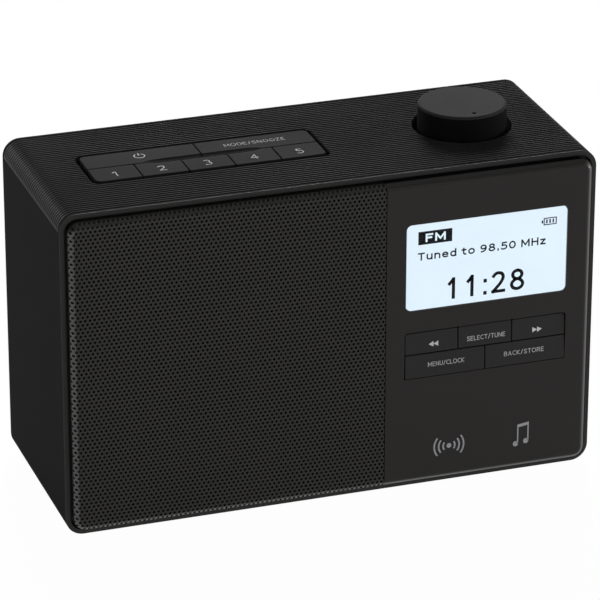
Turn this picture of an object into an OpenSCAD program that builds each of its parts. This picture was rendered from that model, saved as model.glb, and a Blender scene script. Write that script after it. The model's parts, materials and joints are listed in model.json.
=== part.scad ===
// Tabletop radio: a ribbed casing sleeve with a front and a rear that close it.
// X runs to the right, Y to the back and Z up. The origin is on the table, under the middle.

/* [Casing] */
// Width of the casing
case_w = 210; // [206:1:230]
// Height of the casing without its feet
case_h = 129.5; // [128:0.5:140]
// Depth of the casing from rim to rim
case_d = 80; // [78:1:100]
// Thickness of the casing's walls
wall = 2; // [1.8:0.1:2.4]
// Radius of the casing's four long corners
corner_r = 6.8; // [6:0.1:8]
// Rounding of the rim's outer edge
rim_r = 0.3; // [0.2:0.1:0.6]
// Height that the feet lift the casing
foot_h = 1.2; // [0.8:0.1:3]
// Diameter of a foot
foot_d = 13; // [10:0.5:18]

/* [Ribs] */
// Distance from one rib of the casing's top to the next
rib_pitch = 1.8; // [1.6:0.1:2.6]
// Width of the groove between two ribs
rib_gap = 0.8; // [0.6:0.1:1.1]
// Depth of that groove
rib_depth = 0.3; // [0.2:0.05:0.5]

/* [Front] */
// How far the front stands out of the casing's rim
front_proud = 3.8; // [3:0.1:5]
// Groove between the front and the casing's walls
front_gap = 0.6; // [0.4:0.1:0.9]
// Rounding of the front's edge
front_edge_r = 2.2; // [1.8:0.1:2.6]
// Radius of the front's four corners
front_corner_r = 4.6; // [4:0.1:5.4]
// Width of the control panel; the grille takes the rest of the front
panel_w = 82.5; // [82:0.5:86]
// Depth of the front's edge, in front of the dark groove round its neck
front_edge_d = 2.4; // [2.3:0.1:2.8]
// Thickness of the grille's sheet
grille_t = 0.8; // [0.6:0.1:1]
// Seam between the grille and the control panel
seam = 0.3; // [0.2:0.1:0.6]
// Thickness of the control panel
panel_t = 2; // [1.6:0.1:2.4]

/* [Perforation] */
// Distance between two holes in a row
hole_pitch = 3.6; // [3:0.1:6]
// Diameter of a hole
hole_d = 2.1; // [1.6:0.1:2.4]
// Plain border beside the grille's seam
hole_border = 2; // [1:0.1:4]

/* [Display] */
// Width of the display's window
display_w = 64.4; // [56:0.2:65]
// Height of the display's window
display_h = 34.8; // [30:0.2:36]
// Radius of the window's corners
display_r = 2; // [1:0.1:3]
// Middle of the window below the casing's top
display_down = 37.4; // [36.5:0.1:38]

/* [Front keys] */
// Width of the field of front keys
front_keys_w = 65; // [58:0.5:65]
// Height of one row of front keys
front_row_h = 9.3; // [8.6:0.1:9.5]
// Plain strip between the window and the upper row
front_keys_below = 9; // [8.6:0.1:9.4]
// Travel of the three upper keys
front_travel = 0.8; // [0.5:0.1:0.9]
// How far the keys' faces lean in, from flush at the bottom to this at the top
front_keys_lean = 0.9; // [0.5:0.1:1.2]
// Radius of the key field's two upper corners
front_keys_r = 1.5; // [1:0.1:2]
// Gap between two front keys
front_key_gap = 0.4; // [0.3:0.05:0.6]

/* [Top keys] */
// Middle of the key field from the casing's left side
top_keys_in = 67.1; // [64:0.5:70]
// Width of one preset key
top_key_w = 17.6; // [16:0.1:18]
// Depth of one row of top keys
top_row_d = 12.55; // [11:0.05:13.5]
// Gap between two top keys
top_key_gap = 0.45; // [0.3:0.05:0.7]
// Gap between the key field and the edge of its pocket
pocket_gap = 1.6; // [1.2:0.1:2]
// Radius of the key field's corners
top_keys_r = 2.3; // [1:0.1:3]
// Height that the keys stand above the casing
top_key_up = 0.2; // [0.1:0.05:0.6]
// Thickness of a key's cap
top_cap_t = 1.8; // [1.6:0.1:2]
// Travel of a top key
top_travel = 0.8; // [0.5:0.1:0.9]
// Width of the finger scoop along the two rows
scoop_w = 4.6; // [3:0.1:6]
// Depth of that scoop
scoop_depth = 0.7; // [0.4:0.05:0.8]
// Length of that scoop
scoop_len = 46; // [30:1:60]

/* [Knob] */
// Middle of the knob from the casing's right side
knob_in = 39.3; // [38:0.5:42]
// Radius of the knob
knob_r = 17.1; // [14:0.1:18]
// Height of the knob above the casing
knob_up = 9.1; // [7.5:0.1:12]
// Rounding of the knob's top edge
knob_edge_r = 1.2; // [0.6:0.1:1.8]
// Gap between the knob and its well
well_gap = 2; // [1.5:0.1:2.5]
// Depth of the well
well_depth = 5.5; // [5:0.1:6.5]
// Radius of the encoder's shaft
shaft_r = 3; // [2.5:0.1:3.2]

/* [Speaker] */
// Outer radius of the speaker's frame
speaker_r = 41; // [38:0.5:44]
// Depth of the speaker's frame
speaker_depth = 20; // [18:0.5:24]
// Radius of the speaker's magnet
magnet_r = 22.5; // [18:0.5:25]
// Thickness of the speaker's magnet
magnet_t = 14; // [10:0.5:16]

/* [Back] */
// How far the rear cover lies inside the rim
rear_inset = 1; // [0.6:0.1:1.5]
// Thickness of the rear cover
rear_t = 2.5; // [2:0.1:3]
// Diameter of a battery cell
cell_d = 18.4; // [18:0.1:18.6]
// Length of the battery cells with their caps
cell_l = 66; // [62:0.5:67]
// Width of the main board
main_w = 66; // [62:0.5:68]
// Height of the main board
main_h = 82; // [78:0.5:84]
// Length of the posts between the main board and the rear cover
main_post = 12; // [11.5:0.1:13]
// Radius of the headphone socket's bore
phone_r = 1.8; // [1.76:0.01:1.85]

/* [Aerial] */
// Diameter of the aerial's outer tube
aerial_d = 6; // [5.6:0.1:6.6]
// Length of the aerial's outer tube
aerial_len = 150; // [120:1:155]
// Wall of an aerial tube
tube_wall = 0.4; // [0.3:0.05:0.45]
// Running clearance of pins, shafts and tubes
run_fit = 0.05; // [0.03:0.01:0.08]
// Aerial's pivot below the casing's top
aerial_down = 14; // [13:0.5:17]
// Aerial's pivot from the casing's right side
aerial_in = 23; // [22:0.5:30]

/* [Hidden] */
$fn = 48;

// Clearances and small sizes that several pieces share
fit = 0.15;         // between a fixed piece and its seat, all round
key_fit = 0.2;      // between a moving key and the wall round it
over = 1;           // how far a cut runs past the face it opens
flange_t = 2.5;     // flange of the front baffle
flange_in = 4;      // front face of that flange behind the rim
ledge = 1.4;        // ledges inside the sleeve that the baffle and the rear cover meet
ledge_t = 2;
board_t = 1.6;
switch_w = 6;
switch_h = 3.5;
plunger_h = 0.7;
press_gap = 0.1;    // between a key at the end of its travel and its switch
screw_r = 1.1;      // shank
pilot_r = 1.15;     // hole in a post that takes the shank
through_r = 1.5;    // hole that the shank passes through
head_r = 2.4;
head_t = 1.5;
post_r = 2.75;

// Main planes
aerial_gap = 0.4;
fork_r = 4;
aerial_out = aerial_gap + aerial_d / 2 + fork_r;
y_front = -(front_proud + case_d + aerial_out) / 2;
y_rim = y_front + front_proud;
y_back = y_rim + case_d;
y_mid = (y_rim + y_back) / 2;
y_flange = y_rim + flange_in;
y_rear_out = y_back - rear_inset;
y_rear_in = y_rear_out - rear_t;
z_base = foot_h;
z_top = foot_h + case_h;
z_mid = foot_h + case_h / 2;
inner_w = case_w - 2 * wall;
inner_h = case_h - 2 * wall;
inner_r = corner_r - wall;

// Front
front_w = inner_w - 2 * front_gap;
front_h = inner_h - 2 * front_gap;
front_d = y_flange - y_front;
x_front_end = front_w / 2;
x_panel = x_front_end - panel_w;
x_seam = x_panel - seam;
grille_w = x_seam + x_front_end;
neck = grille_t + fit;   // how far the front's neck lies inside its outline
controls_x = (x_panel + x_front_end - front_edge_r) / 2;
cloth_t = 0.4;
baffle_t = 3;
y_cloth = y_front + grille_t;
y_baffle = y_cloth + cloth_t;

// Speaker
speaker_x = (x_seam - front_w / 2) / 2;
speaker_hole_r = speaker_r - 6;
speaker_pcd_r = speaker_r - 2.8;
gasket_t = 1;
speaker_flange_t = 1.2;
y_gasket = y_baffle + baffle_t;
y_speaker = y_gasket + gasket_t;
y_magnet = y_speaker + speaker_depth;
cone_r = speaker_hole_r - 6;
coil_r = 9.5;

// Front controls
display_z = z_top - display_down;
lens_lip = 1.4;
lens_lip_t = 0.8;
lcd_gap = 0.1;
front_keys_top = display_z - display_h / 2 - front_keys_below;
row_z0 = front_keys_top - front_row_h;
tab_z0 = row_z0 - front_key_gap - front_row_h;
row_key_w = (front_keys_w - 2 * front_key_gap) / 3;
tab_key_w = (front_keys_w - front_key_gap) / 2;
keys_x0 = controls_x - front_keys_w / 2;
row_key_xs = [for (i = [0 : 2]) keys_x0 + i * (row_key_w + front_key_gap)];
tab_key_xs = [for (i = [0 : 1]) keys_x0 + i * (tab_key_w + front_key_gap)];
front_cap_t = panel_t + 0.6;
front_lip = 0.8;
guide_in = 4.8;
guide_t = 1.2;
front_board_in = 12.5;
y_front_board = y_front + front_board_in;
front_stem_r = 1.5;
front_stem_end = front_board_in - switch_h - plunger_h - press_gap - front_travel;
tab_pin_r = 0.75;
tab_barrel_r = 1.7;
tab_axis_in = panel_t + tab_barrel_r - 0.4;
tab_axis_up = 1.6;
tab_stem_up = 5.4;
tab_travel = 0.5;
front_board_z0 = tab_z0 - 6.4;
front_board_z1 = display_z + display_h / 2 + 7.6;
front_post_zs = [front_board_z0 + 2.9, front_board_z1 - 2.6];
front_post_dx = display_w / 2 - 3;
panel_post_in = [8, 22];   // from the panel's seam and from its outer end
panel_post_xs = [x_panel + panel_post_in[0], x_front_end - panel_post_in[1]];
panel_post_zs = [z_base + 8, z_top - 8];

// Top controls
top_keys_x = -case_w / 2 + top_keys_in;
top_keys_w = 5 * top_key_w + 4 * top_key_gap;
top_keys_d = 2 * top_row_d + top_key_gap;
wide_key_w = (top_keys_w - top_key_gap) / 2;
pocket_w = top_keys_w + 2 * pocket_gap;
pocket_d = top_keys_d + 2 * pocket_gap;
pocket_r = top_keys_r + pocket_gap / 2;
z_under = z_top - wall;
frame_t = 1.5;
frame_margin = 4;
z_key_plate = z_top + top_key_up - top_cap_t - top_travel - 0.2;
z_key_plate_low = z_key_plate - frame_t;
top_stem_in = 2;
top_lip = 0.6;
top_lip_t = 0.8;
knob_x = case_w / 2 - knob_in;
well_r = knob_r + well_gap;
well_wall = 1.8;
z_well = z_top - well_depth;
encoder_h = 6.5;
encoder_w = 12;
bush_r = shaft_r + 1.5;
bush_h = frame_t + 5;
nut_r = bush_r + 2.6;
nut_t = 2;
z_encoder = z_well - frame_t - encoder_h;
z_top_board = z_encoder;
z_plunger = z_top_board + switch_h + plunger_h;
knob_wall = 2.2;
knob_roof = 2.6;
knob_foot = 0.9;
hub_r = shaft_r + 3;
hub_fit = 0.03;
flat_x = shaft_r - 0.5;
notch_in = 4.3;
notch_r = 1;
frame_post_xs = [
    top_keys_x - pocket_w / 2 + 2, top_keys_x + pocket_w / 2 + 12, knob_x + well_r - 3
];
frame_post_dy = pocket_d / 2 + 1.4;
boss_xs = [top_keys_x - 20, top_keys_x + 20, (top_keys_x + pocket_w / 2 + knob_x - well_r) / 2];
boss_dy = pocket_d / 2 + 6;
boss_r = 2.5;
boss_h = 4.5;
collar_r = boss_r + 1.7;

// Back
bay_t = 1.6;
bay_d = cell_d + 3;
cell_room = 3;             // from a cell's end or side to the edge of the door
door_w = cell_l + 2 * cell_room;
door_h = 2 * (cell_d + cell_room) + 1.2;
door_x = speaker_x;
door_z = z_base + 16 + door_h / 2;
door_gap = 0.3;
door_lip = 1.5;
door_screw_x = door_x + door_w / 2 + 3.2;
main_x = case_w / 2 - 17 - main_w / 2;
main_z = z_base + 15 + main_h / 2;
y_main = y_rear_in - main_post;
main_post_dx = main_w / 2 - 4;
main_post_dz = main_h / 2 - 4;
phone_x = main_x;
dc_x = main_x + 15;
socket_z = main_z - main_h / 2 + 10;
socket_fit = 0.2;
nose_r = 3.2;
dc_nose_r = 4.2;
shield_w = 36;
shield_h = 28;
shield_d = 4;
shield_t = 0.5;
shield_z = main_z + 18;
plug_d = 3;
y_plug = y_main - board_t - plug_d;
x_plug = main_x - main_w / 2 + 7;
terminal_t = 1;
lead_r = 0.7;
lead_pitch = 3;
lead_bow = 26;
lead_steps = 16;
ribbon_w = 10;
ribbon_t = 0.3;
ribbon_sag = 9;
z_ribbon = shield_z + shield_h / 2 + 4.5;
front_ribbon_x = main_x - 8;
top_ribbon_x = main_x + 11;
inlet_pin_r = 0.9;
inlet_bore_r = 2.9;
capacitor_r = 4.8;
capacitor_h = 13;
capacitor_step = 13;
capacitor_zs = [main_z - 8, main_z - 24];
phone_body = [9, 11];
dc_body = [11, 12];
tie_screw_l = 12;
tie_in = 9.5;
tie_r = 3.5;
tie_xs = [-case_w / 2 + tie_in, case_w / 2 - tie_in];
tie_zs = [z_base + tie_in, z_top - tie_in];
tie_sink = 1.2;

// Aerial
aerial_x = case_w / 2 - aerial_in;
aerial_z = z_top - aerial_down;
y_aerial = y_back + aerial_gap + aerial_d / 2;
turret_r = 5.5;
turret_lip = 1.4;
turret_lip_t = 1;
turret_seat = 4;
ear_gap = 3.2;
ear_t = 2.4;
pin_r = 1;
tongue_t = ear_gap - 0.2;
tongue_w = 5;
retainer_t = 1.2;
tube_start = 5.2;
tube_r = [for (i = [0 : 4]) aerial_d / 2 - i * (tube_wall + run_fit)];
tube_step = 1.5;
tip_r = aerial_d / 2;
tip_l = 4;
rest_x = aerial_x - aerial_len * 0.8;

// ---------------------------------------------------------------- shared forms

// Rectangle with true round corners, about its middle
module round_rect(w, h, r) {
    square([w - 2 * r, h], center = true);
    square([w, h - 2 * r], center = true);
    for (sx = [-1, 1], sy = [-1, 1]) {
        translate([sx * (w / 2 - r), sy * (h / 2 - r)]) circle(r);
    }
}

// A shape drawn in X and Z, given depth from y0 back to y1
module upright(y0, y1) {
    translate([0, y1, 0]) rotate([90, 0, 0]) linear_extrude(y1 - y0) children();
}

// A profile of radius and height, turned about an axis that runs back along Y
module spun(x, y, z) {
    translate([x, y, z]) rotate([-90, 0, 0]) rotate_extrude() children();
}

// A round bar that runs back along Y
module bar(x, y0, y1, z, r) {
    upright(y0, y1) translate([x, z]) circle(r);
}

// Casing outline grown or shrunk by d, in X and Z
module case_outline(d = 0) {
    translate([0, z_mid]) round_rect(case_w + 2 * d, case_h + 2 * d, corner_r + d);
}

// The whole front as one block with a rounded edge, shrunk all round by d
module front_block(d) {
    r = front_corner_r - d;
    e = front_edge_r - d;
    w = front_w - 2 * d;
    h = front_h - 2 * d;
    depth = front_d - d;
    translate([0, y_flange, z_mid]) rotate([90, 0, 0]) {
        rotate([90, 0, 90]) translate([0, 0, -(w / 2 - r)]) linear_extrude(w - 2 * r) {
            edge_profile(h, depth, e);
        }
        rotate([90, 0, 0]) translate([0, 0, -(h / 2 - r)]) linear_extrude(h - 2 * r) {
            edge_profile(w, depth, e);
        }
        for (sx = [-1, 1], sy = [-1, 1]) {
            translate([sx * (w / 2 - r), sy * (h / 2 - r), 0]) rotate_extrude() {
                intersection() {
                    edge_profile(2 * r, depth, e);
                    square([r, depth]);
                }
            }
        }
    }
}

// A slab seen from its end, with its two upper corners rounded
module edge_profile(w, depth, e) {
    translate([-w / 2, 0]) square([w, depth - e]);
    translate([-w / 2 + e, 0]) square([w - 2 * e, depth]);
    for (sx = [-1, 1]) translate([sx * (w / 2 - e), depth - e]) circle(e);
}

// Everything behind the front's edge
module behind_edge() {
    upright(y_front + front_edge_d, y_flange + over) translate([0, z_mid]) {
        square([case_w, case_h], center = true);
    }
}

// Everything between two planes across X
module between(x0, x1) {
    translate([x0, y_front - over, 0]) cube([x1 - x0, case_d, z_top + over]);
}

// Holes for the tie screws and the posts of the four corners
module at_ties() {
    for (x = tie_xs, z = tie_zs) translate([x, 0, z]) children();
}

// ---------------------------------------------------------------- casing

// Wall of the sleeve in section: distance from the corner's centre, and depth from the back
module sleeve_section() {
    lip_y = [rear_inset + rear_t, case_d - flange_in - flange_t - ledge_t];
    translate([corner_r - wall, 0]) square([wall - rim_r, case_d]);
    translate([corner_r - wall, rim_r]) square([wall, case_d - 2 * rim_r]);
    for (y = [rim_r, case_d - rim_r]) translate([corner_r - rim_r, y]) circle(rim_r);
    for (y = lip_y) {
        translate([corner_r - wall - ledge, y]) square([wall + ledge - rim_r, ledge_t]);
    }
}

module sleeve_shell() {
    dx = case_w / 2 - corner_r;
    dz = case_h / 2 - corner_r;
    translate([0, y_back, z_mid]) rotate([90, 0, 0]) {
        for (s = [-1, 1]) {
            rotate([0, 0, s > 0 ? 0 : 180]) translate([dx, 0, 0]) {
                rotate([90, 0, 0]) linear_extrude(2 * dz, center = true) sleeve_section();
            }
            rotate([0, 0, s * 90]) translate([dz, 0, 0]) {
                rotate([90, 0, 0]) linear_extrude(2 * dx, center = true) sleeve_section();
            }
        }
        for (k = [0 : 3]) {
            sx = (k == 0 || k == 3) ? 1 : -1;
            sz = k < 2 ? 1 : -1;
            translate([sx * dx, sz * dz, 0]) rotate([0, 0, 90 * k]) {
                rotate_extrude(angle = 90) sleeve_section();
            }
        }
    }
}

// One groove's outline: deepest on the flat top, fading out round each upper corner
module rib_groove() {
    difference() {
        case_outline(over);
        translate([0, -rib_depth]) case_outline(0);
        translate([-case_w, -case_h]) square([2 * case_w, z_top + case_h - 0.8 * corner_r]);
    }
}

module top_openings() {
    translate([top_keys_x, y_mid, z_under - ledge - over]) linear_extrude(wall + ledge + 2 * over) {
        round_rect(pocket_w, pocket_d, pocket_r);
    }
    translate([knob_x, y_mid, z_under - over]) cylinder(r = well_r, h = wall + 2 * over, $fn = 96);
}

module at_feet() {
    in = foot_d / 2 + 8;
    for (sx = [-1, 1], y = [y_rim + in, y_back - in]) {
        translate([sx * (case_w / 2 - in), y, 0]) children();
    }
}

module at_bosses() {
    for (x = boss_xs, sy = [-1, 1]) translate([x, y_mid + sy * boss_dy, z_under]) children();
}

module casing_sleeve() {
    ribs = floor((case_d - rib_gap) / rib_pitch);
    first = y_mid - (ribs - 1) / 2 * rib_pitch;
    color("#2b2b2a") {
        difference() {
            sleeve_shell();
            for (i = [0 : ribs - 1]) {
                upright(first + i * rib_pitch - rib_gap / 2, first + i * rib_pitch + rib_gap / 2) {
                    rib_groove();
                }
            }
            top_openings();
            at_feet() translate([0, 0, z_base - over]) cylinder(d = foot_d + 2 * fit, h = wall / 2 + over);
        }
        at_bosses() difference() {
            translate([0, 0, -boss_h]) cylinder(r = boss_r, h = boss_h + wall / 4);
            translate([0, 0, -boss_h - over]) cylinder(r = pilot_r, h = boss_h + over);
        }
    }
}

module feet() {
    color("#1c1c1c") at_feet() {
        cylinder(d = foot_d - 1, h = 0.4);
        translate([0, 0, 0.4]) cylinder(d = foot_d, h = z_base + wall / 2 - 0.4);
    }
}

// ---------------------------------------------------------------- front

// Row by row, so that each strip of sheet carries one row of holes
module perforation_row(j, rows, cols, row_h) {
    shift = (abs(j) % 2) * hole_pitch / 2;
    for (i = [0 : cols - 1 - abs(j) % 2]) {
        translate([(i - (cols - 1) / 2) * hole_pitch + shift, (j - (rows - 1) / 2) * row_h]) {
            circle(d = hole_d, $fn = 24);
        }
    }
}

// The flat of the grille, built of strips that overlap a little between the rows
module perforated_flat(w, h) {
    row_h = hole_pitch * sqrt(3) / 2;
    rows = floor((h - hole_d) / row_h);
    cols = floor((w - hole_border - hole_d) / hole_pitch);
    lap = 0.02;
    for (j = [0 : rows - 1]) difference() {
        translate([-w / 2, (j - rows / 2) * row_h - lap / 2]) square([w, row_h + lap]);
        translate([-hole_border / 2, 0]) perforation_row(j, rows, cols, row_h);
    }
    rest = (h - rows * row_h) / 2;
    for (s = [-1, 1]) {
        translate([0, s * (h / 2 - rest / 2)]) square([w, rest + lap], center = true);
    }
}

module speaker_grille() {
    flat_w = grille_w - front_edge_r;
    flat_h = front_h - 2 * front_edge_r;
    flat_x = x_seam - flat_w / 2;
    color("#30302e") {
        difference() {
            intersection() {
                front_block(0);
                between(-case_w, x_seam);
            }
            front_block(grille_t);
            behind_edge();
            translate([flat_x - flat_w / 2, y_front - over, z_mid - flat_h / 2]) {
                cube([flat_w + over, grille_t + 2 * over, flat_h]);
            }
        }
        upright(y_front, y_front + grille_t) translate([flat_x, z_mid]) perforated_flat(flat_w, flat_h);
    }
}

module grille_cloth() {
    w = grille_w - front_edge_r;
    h = front_h - 2 * front_edge_r;
    color("#141414") upright(y_cloth, y_baffle) {
        translate([x_seam - w / 2, z_mid]) square([w, h], center = true);
    }
}

module baffle_plinth() {
    difference() {
        intersection() {
            front_block(neck);
            between(-case_w, x_seam - fit);
            translate([-case_w, y_baffle, 0]) cube([2 * case_w, case_d, z_top]);
        }
        upright(y_gasket, y_flange + over) {
            translate([x_seam - grille_w / 2, z_mid]) {
                round_rect(grille_w - 2 * (neck + wall), front_h - 2 * (neck + wall), 2);
            }
        }
    }
}

module speaker_screw_places() {
    for (a = [45 : 90 : 315]) {
        translate([speaker_x + speaker_pcd_r * cos(a), 0, z_mid + speaker_pcd_r * sin(a)]) children();
    }
}

// Opening in the baffle's flange that the front board and its switches look through
module board_window() {
    translate([controls_x, (front_board_z0 + front_board_z1) / 2]) {
        round_rect(display_w + 7, front_board_z1 - front_board_z0 + 2, 2);
    }
}

module front_baffle() {
    color("#3a3a3c") {
        difference() {
            union() {
                baffle_plinth();
                upright(y_flange, y_flange + flange_t) translate([0, z_mid]) {
                    round_rect(inner_w - 2 * fit, inner_h - 2 * fit, inner_r - fit);
                }
                at_ties() bar(0, y_flange + flange_t / 2, y_rear_in, 0, tie_r);
            }
            upright(y_flange - over, y_flange + flange_t + over) {
                translate([speaker_x, z_mid]) circle(speaker_r + 2, $fn = 96);
                board_window();
            }
            bar(speaker_x, y_baffle - over, y_gasket + over, z_mid, speaker_hole_r);
            at_ties() bar(0, y_rear_in - 16, y_rear_in + over, 0, pilot_r);
            for (x = panel_post_xs, z = panel_post_zs) {
                bar(x, y_flange - over, y_flange + flange_t + over, z, through_r);
            }
            speaker_screw_places() bar(0, y_gasket - 2.4, y_gasket + over, 0, pilot_r);
        }
    }
}

// ---------------------------------------------------------------- control panel

module display_opening(grow) {
    translate([controls_x, display_z]) {
        round_rect(display_w + 2 * grow, display_h + 2 * grow, display_r + grow);
    }
}

// The field of the front keys grown by d: square below, its two upper corners rounded
module keys_field(d) {
    w = front_keys_w + 2 * d;
    h = front_keys_top - tab_z0 + 2 * d;
    translate([controls_x, tab_z0 - d]) {
        translate([0, h / 2]) round_rect(w, h, front_keys_r + d);
        translate([-w / 2, 0]) square([w, h / 2]);
    }
}

// What leans the keys' faces in: a wedge along X in front of them
module keys_wedge() {
    h = front_keys_top - tab_z0;
    translate([keys_x0 - over, 0, 0]) rotate([90, 0, 90]) linear_extrude(front_keys_w + 2 * over) {
        polygon([
            [y_front - over, tab_z0 - over * h / front_keys_lean],
            [y_front + 2 * front_keys_lean, tab_z0 + 2 * h], [y_front - over, tab_z0 + 2 * h]
        ]);
    }
}

// Lugs that hold the pin of the two tab keys, one at each end and one between
module pin_lugs(y0, y1) {
    ends = [keys_x0 + 1, controls_x - 1.5, keys_x0 + front_keys_w - 4];
    for (x = ends) {
        translate([x, y0, tab_z0 - 2.2]) cube([3, y1 - y0, 2 + tab_axis_up + 2.2]);
    }
}

module control_panel() {
    inner_h_panel = front_h - 2 * panel_t;
    color("#2d2c2b") difference() {
        union() {
            difference() {
                intersection() {
                    union() {
                        difference() {
                            front_block(0);
                            behind_edge();
                        }
                        front_block(neck);
                    }
                    between(x_panel, case_w);
                }
                upright(y_front + panel_t, y_flange + over) {
                    translate([(x_panel + x_front_end) / 2, z_mid]) {
                        square([x_front_end - x_panel - 2 * panel_t, inner_h_panel], center = true);
                    }
                }
            }
            for (x = panel_post_xs, z = panel_post_zs) {
                bar(x, y_front + panel_t / 2, y_flange, z, post_r);
            }
            for (sx = [-1, 1], z = front_post_zs) {
                bar(controls_x + sx * front_post_dx, y_front + panel_t / 2, y_front_board, z, post_r);
            }
            pin_lugs(y_front + panel_t / 2, y_front + tab_axis_in + 1.6);
            guide_blocks();
        }
        upright(y_front - over, y_front + panel_t + over) display_opening(fit);
        upright(y_front - over, y_front + front_cap_t + 0.4) keys_field(key_fit);
        for (x = panel_post_xs, z = panel_post_zs) {
            bar(x, y_flange - 4.4, y_flange + over, z, pilot_r);
        }
        for (sx = [-1, 1], z = front_post_zs) {
            bar(controls_x + sx * front_post_dx, y_front_board - 6, y_front_board + over, z, pilot_r);
        }
        translate([0, y_front + tab_axis_in, tab_z0 + tab_axis_up]) rotate([0, 90, 0]) {
            translate([0, 0, keys_x0]) cylinder(r = tab_pin_r + run_fit, h = front_keys_w);
        }
    }
}

// Blocks behind the panel, beside the upper keys, that carry the key guide
module guide_blocks() {
    for (sx = [-1, 1]) {
        translate([
            controls_x + sx * (front_keys_w / 2 + 2.2) - 1.5, y_front + panel_t / 2, row_z0 + 1
        ]) {
            cube([3, guide_in - panel_t / 2, front_row_h - 2]);
        }
    }
}

module display_lens() {
    color("#c9d8e4") {
        upright(y_front, y_front + panel_t) display_opening(0);
        upright(y_front + panel_t, y_front + panel_t + lens_lip_t) display_opening(lens_lip);
    }
}

module lcd_module() {
    y0 = y_front + panel_t + lens_lip_t + lcd_gap;
    color("#dff0fb") upright(y0, y0 + 2.4) translate([controls_x, display_z]) {
        square([display_w - 1, display_h - 1], center = true);
    }
    color("#e8e8e6") upright(y0 + 2.4, y_front_board) translate([controls_x, display_z]) {
        square([display_w + 1.6, display_h + 1.6], center = true);
    }
}

module front_board() {
    w = display_w + 1.6;
    color("#1e5a3a") difference() {
        upright(y_front_board, y_front_board + board_t) {
            translate([controls_x, (front_board_z0 + front_board_z1) / 2]) {
                square([w, front_board_z1 - front_board_z0], center = true);
            }
        }
        for (sx = [-1, 1], z = front_post_zs) {
            x = controls_x + sx * front_post_dx;
            bar(x, y_front_board - over, y_front_board + board_t + over, z, through_r);
        }
    }
}

// A tact switch on the front board, pressed backwards
module front_switch(x, z) {
    y_body = y_front_board - switch_h;
    translate([x - switch_w / 2, y_body, z - switch_w / 2]) cube([switch_w, switch_h, switch_w]);
    bar(x, y_body - plunger_h, y_body + plunger_h, z, 1.6);
}

module front_switches() {
    color("#8d8d8d") {
        for (x = row_key_xs) front_switch(x + row_key_w / 2, row_z0 + front_row_h / 2);
        for (x = tab_key_xs) front_switch(x + tab_key_w / 2, tab_z0 + tab_axis_up + tab_stem_up - 1);
    }
}

module key_guide() {
    h = front_row_h - 2;
    color("#3a3a3c") upright(y_front + guide_in, y_front + guide_in + guide_t) difference() {
        translate([controls_x, row_z0 + front_row_h / 2]) {
            square([front_keys_w + 7.4, h], center = true);
        }
        for (x = row_key_xs) {
            translate([x + row_key_w / 2, row_z0 + front_row_h / 2]) circle(front_stem_r + 2 * run_fit);
        }
    }
}

// Upper front key: it slides straight in, kept by a lip above and guided by its stem
module row_key(i) {
    x = row_key_xs[i];
    lip_y = y_front + panel_t + 0.05;
    color("#2e2d2c") {
        difference() {
            upright(y_front, y_front + front_cap_t) intersection() {
                translate([x, row_z0]) square([row_key_w, front_row_h]);
                keys_field(0);
            }
            keys_wedge();
        }
        upright(lip_y, y_front + front_cap_t) translate([x + 2, row_z0 + front_row_h / 2]) {
            square([row_key_w - 4, front_row_h / 2 + key_fit + front_lip]);
        }
        bar(
            x + row_key_w / 2, y_front + front_cap_t - 0.5, y_front + front_stem_end,
            row_z0 + front_row_h / 2, front_stem_r
        );
    }
}

module key_previous() { row_key(0); }
module key_select() { row_key(1); }
module key_next() { row_key(2); }

// Lower front key: a tab that tips in about the pin behind its bottom edge
module tab_key(i) {
    x = tab_key_xs[i];
    mid = x + tab_key_w / 2;
    bar_l = tab_key_w - 12;
    z_axis = tab_z0 + tab_axis_up;
    y_axis = y_front + tab_axis_in;
    y_stem = y_front_board - switch_h - plunger_h - tab_travel - press_gap;
    color("#2e2d2c") difference() {
        union() {
            difference() {
                upright(y_front, y_front + panel_t) {
                    translate([x, tab_z0]) square([tab_key_w, front_row_h]);
                }
                keys_wedge();
            }
            translate([mid - bar_l / 2, y_axis, z_axis]) rotate([0, 90, 0]) {
                cylinder(r = tab_barrel_r, h = bar_l);
            }
            bar(mid, y_front + panel_t - 0.5, y_stem, z_axis + tab_stem_up - 1, 1.2);
        }
        translate([x - over, y_axis, z_axis]) rotate([0, 90, 0]) {
            cylinder(r = tab_pin_r + run_fit, h = tab_key_w + 2 * over);
        }
    }
}

module key_menu() { tab_key(0); }
module key_back() { tab_key(1); }

module tab_key_pin() {
    color("silver") translate([keys_x0 + 0.6, y_front + tab_axis_in, tab_z0 + tab_axis_up]) {
        rotate([0, 90, 0]) cylinder(r = tab_pin_r, h = front_keys_w - 1.2);
    }
}

// ---------------------------------------------------------------- speaker

module speaker_gasket() {
    color("#202020") difference() {
        upright(y_gasket, y_speaker) translate([speaker_x, z_mid]) difference() {
            circle(speaker_r - 0.4, $fn = 96);
            circle(speaker_hole_r + 0.4, $fn = 96);
        }
        speaker_screw_places() bar(0, y_gasket - over, y_speaker + over, 0, through_r);
    }
}

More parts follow.
